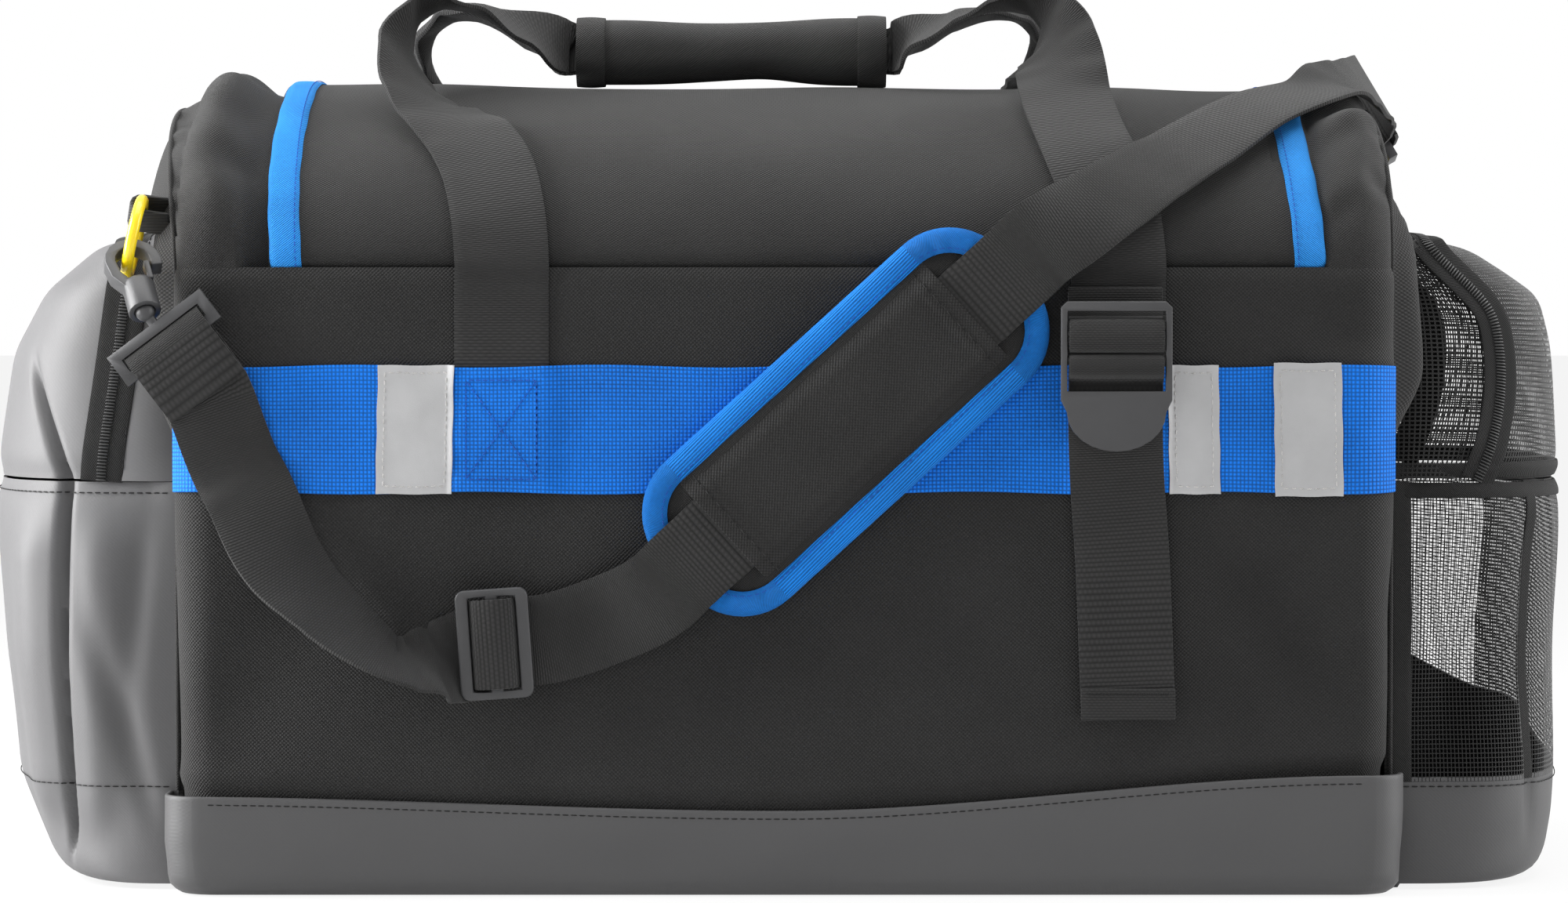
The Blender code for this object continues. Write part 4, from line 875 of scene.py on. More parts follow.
@dataclass(frozen=True)
class Shell:
    """Main sizes of the bag, read from the frame."""

    front: float
    half: float
    end: float
    seam: float
    top: float
    base_top: float
    lid_half: float
    band_low: float
    band_high: float
    corner: float = 0.017

    @classmethod
    def read(cls) -> "Shell":
        """Take the sizes from the frame's boxes."""
        wall_low, wall_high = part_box("front_panel")
        base_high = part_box("base_panel")[1]
        lid_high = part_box("lid_panel")[1]
        band_low, band_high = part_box("front_band")
        return cls(wall_low.y, wall_high.x, base_high.x, wall_high.z, lid_high.z, base_high.z, lid_high.x,
                   band_low.z, band_high.z)

    @property
    def rise(self) -> float:
        """Height of the arch over the seam."""
        return self.top - self.seam

    def arch(self, x: Array, turn: Array, out: Array | float = 0.0) -> Array:
        """Places over the arch, turn 0 at the front seam and pi at the back one."""
        return np.stack((x + 0 * turn, (self.front - out) * np.cos(turn),
                         self.seam + (self.rise + out) * np.sin(turn)), 1)

    def arch_facing(self, turn: float) -> Array:
        """The way that the arch faces at one turn."""
        way = np.array((0, math.cos(turn) * -self.rise, math.sin(turn) * -self.front))
        return way / np.linalg.norm(way)

    def wall(self, face: Face, run: Array, z: Array, out: Array | float = 0.0) -> Array:
        """Places on a long wall, round its upright corners.

        Args:
            face: The wall.
            run: Distance along it from its middle.
            z: Height.
            out: Distance in front of it.

        Returns:
            The places.
        """
        straight = self.half - self.corner
        turn = np.clip((np.abs(run) - straight) / self.corner, 0, None)
        x = np.sign(run) * (np.minimum(np.abs(run), straight) + self.corner * np.sin(turn))
        back = self.corner * (1 - np.cos(turn))
        soft = out - self.hollow(face, run, z)
        x = x + np.sign(run) * np.sin(turn) * soft
        y = face.value * (-self.front - back + np.cos(turn) * soft)
        return np.stack((x, y, z + 0 * x), 1)

    def hollow(self, face: Face, run: Array, z: Array) -> Array:
        """How far the cloth of a wall sinks in at each place."""
        run, z = run + 0 * z, z + 0 * run
        points = np.stack((run, np.full_like(run, 0.3 * face.value), z), 1)
        free = ease((self.band_low - 0.004 - z) / 0.05) * ease((z - 0.03) / 0.03)
        sunk = 0.0016 * ripple(points, 0.16, 5) * free
        sunk += 0.0050 * dent(run, z, (0.212, 0.112), (0.060, 0.020), -52) * free
        sunk += 0.0035 * dent(run, z, (0.175, 0.085), (0.070, 0.026), 20) * free
        sunk += 0.0040 * dent(run, z, (-0.218, 0.105), (0.070, 0.024), 58) * free
        sunk += 0.0030 * dent(run, z, (-0.020, 0.085), (0.120, 0.035), 4) * free
        upper = ease((z - self.band_high) / 0.012) * ease((self.seam - z) / 0.012)
        sunk += 0.0020 * dent(run, z, (-0.232, 0.243), (0.020, 0.016), 40) * upper
        sunk += 0.0026 * dent(run, z, (0.240, 0.240), (0.016, 0.022), 60) * upper
        foot = ease((self.base_edge(run) + 0.009 - z) / 0.009)
        return np.maximum(sunk, -0.0012) + 0.0032 * foot

    def base_edge(self, run: Array) -> Array:
        """Height of the base's top edge along a wall: lowest in the middle."""
        share = run / self.half
        return 0.0365 + 0.0060 * ease(-share) + 0.0150 * ease(share * 1.05)


@dataclass
class Body:
    """The base, walls, end walls, caps and lid with their seams."""

    shell: Shell
    finishes: Finishes
    cloth: float = 0.0022

    def build(self) -> None:
        """Build and dress every panel."""
        self.build_base()
        for face in Face:
            self.build_wall(face)
        for side in Side:
            self.build_end(side)
            self.build_cap(side)
        self.build_lid()
        self.build_bindings()
        frame["nodes"]["base_stiffener"].data.materials.clear()
        frame["nodes"]["base_stiffener"].data.materials.append(self.finishes.board)

    def build_base(self) -> None:
        """The coated tray with its bowed top edge and soft lower edge."""
        low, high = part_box("base_panel")
        size = high - low
        middle = (low + high) / 2
        deselect()
        bpy.ops.mesh.primitive_cube_add(size=1, location=middle, scale=size)
        made = bpy.context.object
        made.name = "base_tray"
        bpy.ops.object.transform_apply(location=True, rotation=True, scale=True)
        bpy.ops.object.mode_set(mode="EDIT")
        bpy.ops.mesh.select_mode(type="EDGE")
        bpy.ops.mesh.select_all(action="DESELECT")
        bpy.ops.object.mode_set(mode="OBJECT")
        for edge in made.data.edges:
            ends = [made.data.vertices[k].co for k in edge.vertices]
            edge.select = abs(ends[0].z - ends[1].z) > size.z / 2
        bpy.ops.object.mode_set(mode="EDIT")
        bpy.ops.mesh.bevel(offset=0.017, segments=8, affect="EDGES")
        for cut in np.linspace(low.x, high.x, 42)[1:-1]:
            bpy.ops.mesh.select_all(action="SELECT")
            bpy.ops.mesh.bisect(plane_co=(cut, 0, 0), plane_no=(1, 0, 0))
        for cut in np.linspace(low.y, high.y, 18)[1:-1]:
            bpy.ops.mesh.select_all(action="SELECT")
            bpy.ops.mesh.bisect(plane_co=(0, cut, 0), plane_no=(0, 1, 0))
        for cut in (0.0015, 0.004, 0.008, 0.014, 0.022, 0.030, 0.036, 0.040):
            bpy.ops.mesh.select_all(action="SELECT")
            bpy.ops.mesh.bisect(plane_co=(0, 0, cut), plane_no=(0, 0, 1))
        bpy.ops.mesh.select_mode(type="FACE")
        bpy.ops.mesh.select_all(action="DESELECT")
        bpy.ops.object.mode_set(mode="OBJECT")
        for face in made.data.polygons:
            face.select = face.normal.z > 0.5
        bpy.ops.object.mode_set(mode="EDIT")
        bpy.ops.mesh.delete(type="FACE")
        bpy.ops.object.mode_set(mode="OBJECT")
        self.shape_base(made, low, high)
        points = coords(made)
        lay_uv(made, np.stack((points[:, 0] + points[:, 1], points[:, 2]), 1))
        thicken(made, 0.0022, -1.0, 0.0008)
        smooth_shade(made, 50)
        seat(dress(made, self.finishes.coated, "coated", "base_panel"), "bag")
        for face in Face:
            run = np.linspace(-self.shell.half + 0.014, self.shell.half - 0.014, 200)
            z = self.shell.base_edge(run) - 0.0035
            line = np.stack((run, np.full_like(run, face.value * (high.y + 0.0016)), z), 1)
            facing = np.tile((0.0, float(face.value), 0.0), (len(run), 1))
            thread = row_of(f"base_stitches_{face.name.lower()}", (0.0026, 0.0006, 0.0005), line, facing, 0.0036)
            seat(dress(thread, self.finishes.dark_thread, "coated"), "bag")

    def shape_base(self, made: Piece, low: Vector, high: Vector) -> None:
        """Bow the tray's top edge, round its foot and let its sides ripple."""
        points = coords(made)
        height = high.z - low.z
        share = points[:, 2] / height
        on_wall = ease((np.abs(points[:, 1]) - 0.12) / 0.04)
        edge = self.shell.base_edge(points[:, 0]) * on_wall + height * (1 - on_wall)
        points[:, 2] = share * edge
        foot = 1 - np.clip(points[:, 2] / 0.006, 0, 1)
        draw = 0.0045 * foot * foot - 0.0016 * ease((share - 0.3) / 0.5)
        wave = 0.0009 * ripple(points, 0.09, 11) * ease(points[:, 2] / 0.012) * ease((0.8 - share) / 0.3) - draw
        side_x = np.abs(points[:, 0]) > high.x - 0.020
        side_y = np.abs(points[:, 1]) > high.y - 0.020
        points[:, 0] += np.where(side_x, np.sign(points[:, 0]) * wave, 0)
        points[:, 1] += np.where(side_y, np.sign(points[:, 1]) * wave, 0)
        set_coords(made, points)

    def build_wall(self, face: Face) -> None:
        """A long wall with its rolled top edge and topstitching."""
        shell = self.shell
        reach = shell.half - shell.corner + shell.corner * math.pi / 2
        name = face.name.lower()

        def place(u: Array, v: Array) -> Array:
            run = (2 * u - 1) * reach
            low = shell.base_edge(np.clip(run, -shell.half, shell.half)) - 0.006
            z = low + (shell.seam + 0.0024 - low) * v
            roll = 0.0014 * np.square(np.clip((z - shell.seam + 0.0036) / 0.006, 0, 1))
            return shell.wall(face, run, z, 0.0012 - roll)

        made = sheet(f"{name}_wall", 170, 80, place, (0, 0, 0.15))
        thicken(made, self.cloth)
        smooth_shade(made)
        seat(dress(made, self.finishes.woven, "woven", "front_panel" if face is Face.FRONT else "back_panel"), "bag")
        run = np.linspace(-reach + 0.012, reach - 0.012, 240)
        line = shell.wall(face, run, np.full_like(run, shell.seam - 0.0052), 0.0009)
        facing = np.tile((0.0, float(face.value), 0.0), (len(run), 1))
        thread = row_of(f"{name}_topstitch", (0.0024, 0.0006, 0.0005), line, facing, 0.0034)
        seat(dress(thread, self.finishes.dark_thread, "woven"), "bag")

    def rim_out(self, turn: Array, sign: int) -> Array:
        """How far an end's seam bows out past the walls' length: little on the right, under the strap."""
        return (0.0125 if sign < 0 else 0.0020) * np.power(np.clip(np.sin(turn), 0, 1), 1.5)

    def rim_lift(self, turn: Array) -> Array:
        """Height of an end's seam over the plain arch: it drops into the rounded corners."""
        share = ease(np.clip(np.sin(turn), 0, 1) / 0.6)
        return -self.shell.corner * (1 - share) - 0.0115 * share

    def rim(self, sign: int) -> Array:
        """An end's seam, from its front foot over the arch to its back foot."""
        shell = self.shell
        turns = np.linspace(0, math.pi, 120)
        over = shell.arch(sign * (shell.half + self.rim_out(turns, sign)), turns, self.rim_lift(turns))
        foot = np.linspace(shell.base_top - 0.006, shell.seam, 30)
        depth = -shell.front - shell.corner
        x = np.full_like(foot, sign * shell.half)
        front = np.stack((x, np.full_like(foot, -depth), foot), 1)
        back = np.stack((x, np.full_like(foot, depth), foot), 1)[::-1]
        return soften(np.vstack((front[:-1], over, back[1:])), 220, 0.012)

    def swell(self, y: Array, z: Array, sign: int) -> Array:
        """How far an end wall stands out: most over its pocket, and beside the pocket's narrow top."""
        width = np.clip(1 - np.square(y / 0.160), 0, 1)
        left = 0.022 * np.sqrt(width) * (1 - 0.6 * ease((y - 0.010) / 0.030))
        crown = (left if sign < 0 else 0.011 * width) * ease((z - 0.284) / 0.014)
        beside = 0.013 * ease((np.abs(y) - 0.128) / 0.012) * ease((z - 0.185) / 0.04)
        return np.maximum(crown, beside)

    def build_end(self, side: Side) -> None:
        """An end wall that swells over the pocket, with a welt round its seam."""
        shell = self.shell
        sign = side.value
        rim = self.rim(sign)
        foot = np.array((0.0, shell.base_top - 0.006))

        def place(u: Array, v: Array) -> Array:
            k = u * (len(rim) - 1)
            edge = np.stack([np.interp(k, np.arange(len(rim)), rim[:, c]) for c in range(3)], 1)
            scale = 1 - np.power(v, 1.8)
            flat = foot + (edge[:, 1:] - foot) * scale[:, None]
            y, z = flat[:, 0], flat[:, 1]
            points = np.stack((np.full_like(y, 0.1 * sign), y, z), 1)
            creases = 0.0018 * ripple(points, 0.055, 21 + sign) * ease((z - 0.18) / 0.06)
            inner = shell.half + 0.0008 + self.swell(y, z, sign) + creases
            share = bell((1 - scale) / 0.045)
            return np.stack((edge[:, 0] * share + sign * inner * (1 - share), y, z), 1)

        made = sheet(f"{side.name.lower()}_end_wall", 170, 60, place, (0, 0, 0.15))
        points = coords(made)
        lay_uv(made, points[:, 1:])
        thicken(made, self.cloth)
        smooth_shade(made)
        node = f"{side.name.lower()}_end_panel"
        seat(dress(made, self.finishes.woven, "woven", node), "bag")
        cord = wire(f"{side.name.lower()}_end_welt", rim[rim[:, 2] > shell.base_top], 0.0012)
        seat(dress(cord, self.finishes.lining, "woven"), "bag")

    def build_cap(self, side: Side) -> None:
        """The arched cap between the lid's end and the end seam, puffed and gathered."""
        shell = self.shell
        sign = side.value
        inner = shell.lid_half - 0.014
        stops = np.array((0.0, 0.20, 0.32, 0.42, 0.54, 0.66, 0.80, 0.92, 1.0))
        lifts = np.array((-0.0060, -0.0060, -0.0052, -0.0012, 0.0052, 0.0078, 0.0066, 0.0030, 0.0))
        across = soften(np.stack((stops, lifts), 1), 60, 0.12)
        first = -0.03
        peak = 1.0 if side is Side.LEFT else 0.45

        def place(u: Array, v: Array) -> Array:
            turn = first + (math.pi - 2 * first) * u
            outer = shell.half + self.rim_out(turn, sign)
            x = inner + (outer - inner) * v
            puff = np.interp(v, across[:, 0], across[:, 1])
            ends = ease(np.clip(np.sin(turn), 0, 1) / 0.5)
            points = np.stack((x * sign, turn * 0.14, 0 * x), 1)
            gather = 0.0006 * np.sin(turn * 30 + 2.0 * ripple(points, 0.05, 31 + sign)) * ease((v - 0.72) / 0.2)
            fold = self.cap_folds(side, turn, v)
            lift = np.where(puff > 0, puff * ends * peak, puff) + (gather + fold) * ends
            lift += 0.0014 * ripple(points, 0.045, 41 + sign) * ends * ease((v - 0.3) / 0.2) * ease((1 - v) / 0.1)
            corner = np.clip((x - shell.half + shell.corner) / shell.corner, 0, 1)
            drop = self.rim_lift(turn) * (1 - np.sqrt(1 - np.square(corner)))
            return shell.arch(sign * x, turn, lift + drop)

        made = sheet(f"{side.name.lower()}_cap", 150, 40, place, (0, 0, 0.2))
        thicken(made, self.cloth)
        smooth_shade(made)
        seat(dress(made, self.finishes.woven, "woven"), "bag")

    def cap_folds(self, side: Side, turn: Array, v: Array) -> Array:
        """Creases of a cap's cloth: soft on the left, and pressed down by the strap on the right."""
        if side is Side.LEFT:
            fold = -0.0042 * dent(turn, v, (0.60, 0.52), (0.22, 0.10), 70)
            fold -= 0.0030 * dent(turn, v, (1.05, 0.86), (0.16, 0.08), 30)
            return fold - 0.0026 * dent(turn, v, (2.20, 0.60), (0.20, 0.20), 50)
        fold = -0.0060 * dent(turn, v, (1.02, 0.60), (0.10, 0.30), -14)
        fold += 0.0036 * dent(turn, v, (0.84, 0.72), (0.06, 0.30), -12)
        fold -= 0.0052 * dent(turn, v, (0.50, 0.90), (0.10, 0.12), 30)
        fold -= 0.0034 * dent(turn, v, (0.30, 0.55), (0.22, 0.08), 70)
        return fold - 0.0030 * dent(turn, v, (2.30, 0.60), (0.16, 0.24), 50)

    def lid_lift(self, x: Array, turn: Array) -> Array:
        """How far the lid's cloth stands off the plain arch."""
        points = np.stack((x + 0 * turn, turn * 0.15, 0 * x + 0 * turn), 1)
        free = np.sin(turn)
        lift = 0.0011 * ripple(points, 0.12, 51) * free
        lift -= 0.0006 * dent(x + 0 * turn, turn, (0.0, 1.57), (0.16, 0.6), 0)
        lift -= 0.0018 * dent(x + 0 * turn, turn, (-0.195, 0.75), (0.022, 0.40), 0) * free
        lift -= 0.0018 * dent(x + 0 * turn, turn, (0.190, 0.70), (0.024, 0.40), 0) * free
        lift -= 0.0034 * ease((x + 0 * turn - 0.06) / 0.14) * free
        return lift - 0.0034 * bell(turn / 0.05)

    @staticmethod
    def lean(turn: Array) -> Array:
        """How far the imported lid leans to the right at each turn: most at its seams."""
        return 0.0058 - 0.0040 * np.sin(turn)

    def lid_turns(self) -> tuple[float, float]:
        """Turns of the lid's front and back edges."""
        lap, back = 0.0022, 0.012
        return -math.asin(lap / self.shell.rise), math.pi - math.asin(back / self.shell.rise)

    def build_lid(self) -> None:
        """The arched lid, sagging a little between its bound ends."""
        shell = self.shell
        first, last = self.lid_turns()

        def place(u: Array, v: Array) -> Array:
            turn = first + (last - first) * v
            x = (2 * u - 1) * shell.lid_half + self.lean(turn)
            return shell.arch(x, turn, self.lid_lift(x, turn))

        made = sheet("lid_cloth", 130, 110, place, (0, 0, 0.15))
        thicken(made, self.cloth)
        smooth_shade(made)
        seat(dress(made, self.finishes.woven, "woven", "lid_panel"), "lid")
        x = np.linspace(-shell.lid_half + 0.010, shell.lid_half - 0.004, 200)
        turn = np.full_like(x, last - 0.05)
        line = shell.arch(x, turn, self.lid_lift(x, turn) + 0.0002)
        facing = np.tile(shell.arch_facing(last - 0.05), (len(x), 1))
        thread = row_of("lid_back_stitch", (0.0024, 0.0006, 0.0005), line, facing, 0.0036)
        seat(dress(thread, self.finishes.dark_thread, "woven"), "lid")

    def build_bindings(self) -> None:
        """Blue tape folded over both ends of the lid, with a row of stitches."""
        shell = self.shell
        first, last = self.lid_turns()
        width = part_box("lid_binding_left")[1].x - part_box("lid_binding_left")[0].x
        stops = np.array(((-width, 0.0004), (-width + 0.0004, 0.0012), (-width / 2, 0.0017), (-0.0016, 0.0015),
                          (0.0004, 0.0002), (0.0006, -0.0022), (-0.0010, -0.0040), (-0.0080, -0.0042)))
        section = soften(stops, 26, 0.0022)
        for side in Side:
            sign = side.value

            def place(u: Array, v: Array, sign: int = sign) -> Array:
                k = u * (len(section) - 1)
                along = np.interp(k, np.arange(len(section)), section[:, 0])
                out = np.interp(k, np.arange(len(section)), section[:, 1])
                turn = first + (last - first) * v
                wave = 0.0005 * np.sin(turn * 5 + sign) + 0.00015 * np.sin(turn * 27)
                x = sign * (shell.lid_half + along + wave) + self.lean(turn)
                return shell.arch(x, turn, out + self.lid_lift(x, turn))

            name = f"{side.name.lower()}_lid_tape"
            made = sheet(name, 25, 120, place, (0, 0, 0.2))
            thicken(made, 0.0007)
            smooth_shade(made, 60)
            seat(dress(made, self.finishes.lid_tape, "blue", f"lid_binding_{side.name.lower()}"), "lid")
            turn = np.linspace(first + 0.01, last - 0.01, 160)
            x = sign * (shell.lid_half - width + 0.0022) + self.lean(turn)
            line = shell.arch(x, turn, self.lid_lift(x, turn) + 0.0017)
            facing = np.array([shell.arch_facing(t) for t in turn])
            thread = row_of(f"{name}_stitch", (0.0022, 0.0005, 0.0004), line, facing, 0.0032)
            seat(dress(thread, self.finishes.blue_thread, "blue"), "lid")


@dataclass
class LidZip:
    """The zip along the lid's back and ends: its tapes and coil."""

    shell: Shell
    finishes: Finishes
    depth: float = 0.0040

    def build(self) -> None:
        """Build and dress the zip."""
        shell = self.shell
        low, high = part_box("lid_zip_tape")
        slider_low, slider_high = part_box("lid_zip_slider")
        z = (slider_low.z + slider_high.z) / 2
        y = -shell.front - self.depth
        path = [((x, y, z), BACKWARD, 0.026) for x in np.linspace(low.x, high.x, 60)]
        back = ribbon("lid_zip_back_tape", path, 0.0009)
        seat(dress(back, self.finishes.zip_tape, "zip", "lid_zip_tape"), "bag")
        for side in Side:
            x = side.value * (shell.lid_half - 0.008)
            turns = np.linspace(0.02, math.pi - 0.02, 120)
            points = shell.arch(x + Body.lean(turns), turns, -self.depth)
            stations = [(p, shell.arch_facing(t), 0.018) for p, t in zip(points, turns)]
            arm = ribbon(f"{side.name.lower()}_zip_tape", stations, 0.0009)
            seat(dress(arm, self.finishes.zip_tape, "zip"), "bag")
        line = np.array([(x, y + 0.0010, z) for x in np.linspace(low.x + 0.004, high.x - 0.004, 200)])
        facing = np.tile(BACKWARD, (len(line), 1))
        teeth = row_of("lid_zip_coil", (0.0052, 0.0014, 0.0018), line, facing, 0.0019, True, 0.0007)
        seat(dress(teeth, self.finishes.coil, "zip"), "bag")


# Bands and patches


@dataclass
class Bands:
    """The blue bands on both walls, and the reflective patches on the front one."""

    shell: Shell
    finishes: Finishes
    thickness: float = 0.0014
    leg: float = 0.0018

    def build(self) -> None:
        """Build and dress bands, patches and their stitching."""
        for face in Face:
            self.build_band(face)
        for name in ("left", "mid", "right"):
            self.build_patch(name)

    def legs(self, face: Face) -> list[tuple[float, float]]:
        """Where handle legs lie under a band, as (middle, half width)."""
        node = "front" if face is Face.FRONT else "rear"
        found = []
        for end in ("left", "right"):
            low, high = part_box(f"{node}_handle_{end}_leg")
            found.append(((low.x + high.x) / 2, (high.x - low.x) / 2))
        return found

    def lift(self, face: Face, run: Array) -> Array:
        """Height of a band's face over the wall: it rises over the handle legs."""
        rise = np.zeros_like(run)
        for middle, half in self.legs(face):
            rise = np.maximum(rise, ease((half + 0.004 - np.abs(run - middle)) / 0.005))
        return 0.0011 + self.thickness + self.leg * rise

    def build_band(self, face: Face) -> None:
        """A band across a wall, with boxed crosses of stitches over the handle legs."""
        shell = self.shell
        reach = shell.half - shell.corner + shell.corner * 1.25
        name = face.name.lower()

        def place(u: Array, v: Array) -> Array:
            run = (2 * u - 1) * reach
            wave = 0.0006 * np.sin(run * 60) * (2 * v - 1)
            z = shell.band_low + (shell.band_high - shell.band_low) * v + wave
            return shell.wall(face, run, z, self.lift(face, run))

        made = sheet(f"{name}_band_cloth", 260, 24, place, (0, 0, 0.2))
        thicken(made, self.thickness, -1.0, 0.0004)
        smooth_shade(made)
        node = "front_band" if face is Face.FRONT else "rear_band"
        seat(dress(made, self.finishes.band, "blue", node), "bag")
        low, high = shell.band_low + 0.006, shell.band_high - 0.006
        corners: list[Array] = []
        for middle, half in self.legs(face):
            left, right = middle - half + 0.005, middle + half - 0.005
            cross = [(left, low), (left, high), (right, high), (right, low), (left, low), (right, high),
                     (right, low), (left, high)]
            corners.append(soften(np.array(cross), 240, 0.001))
        for number, line in enumerate(corners):
            points = shell.wall(face, line[:, 0], line[:, 1], self.lift(face, line[:, 0]) + 0.0001)
            facing = np.tile((0.0, float(face.value), 0.0), (len(points), 1))
            thread = row_of(f"{name}_band_cross_{number}", (0.0022, 0.0006, 0.0005), points, facing, 0.0030)
            seat(dress(thread, self.finishes.blue_thread, "blue"), "bag")

    def build_patch(self, name: str) -> None:
        """A reflective patch, sewn round with pale thread and left bare."""
        shell = self.shell
        low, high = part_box(f"patch_{name}")
        skew = 0.0012 if name == "left" else -0.0010
        drop = 0.0014 if name == "right" else 0.0004

        def place(u: Array, v: Array) -> Array:
            edge = 0.00014 * np.sin(v * 17 + low.x * 90) * (2 * u - 1)
            run = low.x + (high.x - low.x) * u + skew * (v - 0.5) + edge
            z = low.z - drop + (high.z - low.z + 2 * drop) * v + 0.00015 * np.sin(u * 9)
            crease = 0.0003 * ripple(np.stack((run, 0 * run, z), 1), 0.016, 61)
            return shell.wall(Face.FRONT, run, z, self.lift(Face.FRONT, run) + 0.0010 + crease)

        made = sheet(f"{name}_patch", 40, 60, place, (0, 0, 0.2))
        thicken(made, 0.0004, -1.0, 0.0001)
        smooth_shade(made)
        seat(dress(made, self.finishes.silver, "silver", f"patch_{name}"), "bag")
        inset_u, inset_v = 0.0030 / (high.x - low.x), 0.0032 / (high.z - low.z)
        corners = np.array(((inset_u, inset_v), (1 - inset_u, inset_v), (1 - inset_u, 1 - inset_v),
                            (inset_u, 1 - inset_v), (inset_u, inset_v)))
        line = soften(corners, 200, 0.01)
        points = place(line[:, 0], line[:, 1]) + np.array((0, -0.0001, 0))
        facing = np.tile(FORWARD, (len(points), 1))
        thread = row_of(f"{name}_patch_stitch", (0.0020, 0.0006, 0.0005), points, facing, 0.0033)
        seat(dress(thread, self.finishes.pale_thread, "silver"), "bag")


# Handles


@dataclass
class Handles:
    """Both carry handles and the padded grip that joins them."""

    shell: Shell
    finishes: Finishes
    thickness: float = 0.0018

    def build(self) -> None:
        """Build and dress handles and grip."""
        for face in Face:
            self.build_handle(face)
        self.build_grip("grip_wrap", "lid", 94.0, 277.0)
        self.build_grip("grip_flap", "grip_flap", -84.0, 96.0)

    def route(self) -> list[Station]:
        """Stations of the front handle, from under the band on the left to under it on the right."""
        shell = self.shell
        left_low, left_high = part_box("front_handle_left_leg")
        right_low, right_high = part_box("front_handle_right_leg")
        left, right = (left_low.x + left_high.x) / 2, (right_low.x + right_high.x) / 2
        width = left_high.x - left_low.x
        y = (left_low.y + left_high.y) / 2
        grip_low, grip_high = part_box("grip_wrap")
        grip_z = (grip_low.z + grip_high.z) / 2
        start = math.asin(0.0075 / shell.rise)

        def on_lid(x: float, degrees: float, out: float) -> Station:
            turn = start + math.radians(degrees)
            place = shell.arch(np.array([x]), np.array([turn]), out)[0]
            return (place, shell.arch_facing(turn), width)

        def on_wall(x: float, z: float) -> Station:
            return ((x, y, z), FORWARD, width)

        def free(x: float, depth: float, z: float, facing: Sequence[float], share: float = 1.0) -> Station:
            return ((x, depth, z), facing, width * share)

        def held(x: float, out: float, share: float) -> Station:
            return ((x, -0.005 - out, grip_z + out / 2), (0.0, 0.9, -0.4), width * share)

        return [
            on_wall(left, shell.band_high - 0.020), on_wall(left, shell.band_high + 0.012),
            on_wall(left, shell.seam - 0.006), on_lid(left, 0, 0.0020), on_lid(left - 0.002, 12, 0.0026),
            on_lid(left - 0.007, 25, 0.0032), on_lid(left - 0.0165, 36, 0.0046),
            free(left - 0.0290, -0.116, 0.3350, (0.24, -0.45, 0.86)),
            free(left - 0.0395, -0.099, 0.3440, (0.53, -0.43, 0.68)),
            free(left - 0.0470, -0.078, 0.3590, (0.79, -0.45, 0.30)),
            free(left - 0.0460, -0.062, 0.3740, (0.85, -0.20, -0.28)),
            free(left - 0.0390, -0.052, 0.3825, (0.52, 0.0, -0.82)),
            free(left - 0.0270, -0.045, 0.3855, (0.10, 0.13, -0.95)),
            free(left - 0.0050, -0.029, 0.3785, (-0.25, 0.35, -0.85), 0.92),
            held(grip_low.x - 0.006, 0.005, 0.68), held(grip_low.x + 0.010, 0.0, 0.5),
            held(grip_high.x - 0.010, 0.0, 0.5), held(grip_high.x + 0.005, 0.005, 0.66),
            free(right - 0.0735, -0.027, 0.3770, (0.22, 0.35, -0.88), 0.90),
            free(right - 0.0555, -0.037, 0.3832, (0.02, 0.18, -0.97), 0.97),
            free(right - 0.0395, -0.045, 0.3855, (-0.30, 0.05, -0.92)),
            free(right - 0.0290, -0.052, 0.3825, (-0.72, -0.15, -0.62)),
            free(right - 0.0238, -0.061, 0.3750, (-0.85, -0.38, 0.15)),
            free(right - 0.0215, -0.072, 0.3665, (-0.58, -0.50, 0.62)),
            free(right - 0.0200, -0.086, 0.3560, (-0.24, -0.55, 0.79)),
            free(right - 0.0187, -0.101, 0.3445, (0.0, -0.60, 0.80)),
            on_lid(right - 0.0153, 41.5, 0.0042), on_lid(right - 0.0100, 29.5, 0.0032),
            on_lid(right - 0.0030, 15, 0.0026), on_lid(right, 0, 0.0020), on_wall(right, shell.seam - 0.006),
            on_wall(right, shell.band_high + 0.012), on_wall(right, shell.band_high - 0.020),
        ]

    def build_handle(self, face: Face) -> None:
        """One handle as a single run of webbing that bends at the seam."""
        node = "front_handle" if face is Face.FRONT else "rear_handle"
        stations = smooth(self.route(), 7)
        if face is Face.BACK:
            flip = np.array((1.0, -1.0, 1.0))
            stations = [(p * flip, n * flip, w) for p, n, w in stations]
        made = ribbon(f"{node}_webbing", stations, self.thickness, 10, 0.0004)
        dress(made, self.finishes.webbing, "webbing", f"{node}_left_leg", f"{node}_right_leg", f"{node}_loop")
        moving = "lid" if face is Face.FRONT else "rear_handle"
        bend(made, "bag", moving)

    def build_grip(self, node: str, body: str, first: float, last: float) -> None:
        """Half of the padded grip between two angles from the back, with a bound cuff at each end."""
        low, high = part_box(node)
        wrap_low, wrap_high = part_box("grip_wrap")
        flap_low, flap_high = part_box("grip_flap")
        depth = (flap_high.y - wrap_low.y) / 2
        centre = np.array((0, (flap_high.y + wrap_low.y) / 2, (wrap_low.z + wrap_high.z) / 2))
        height = (wrap_high.z - wrap_low.z) / 2

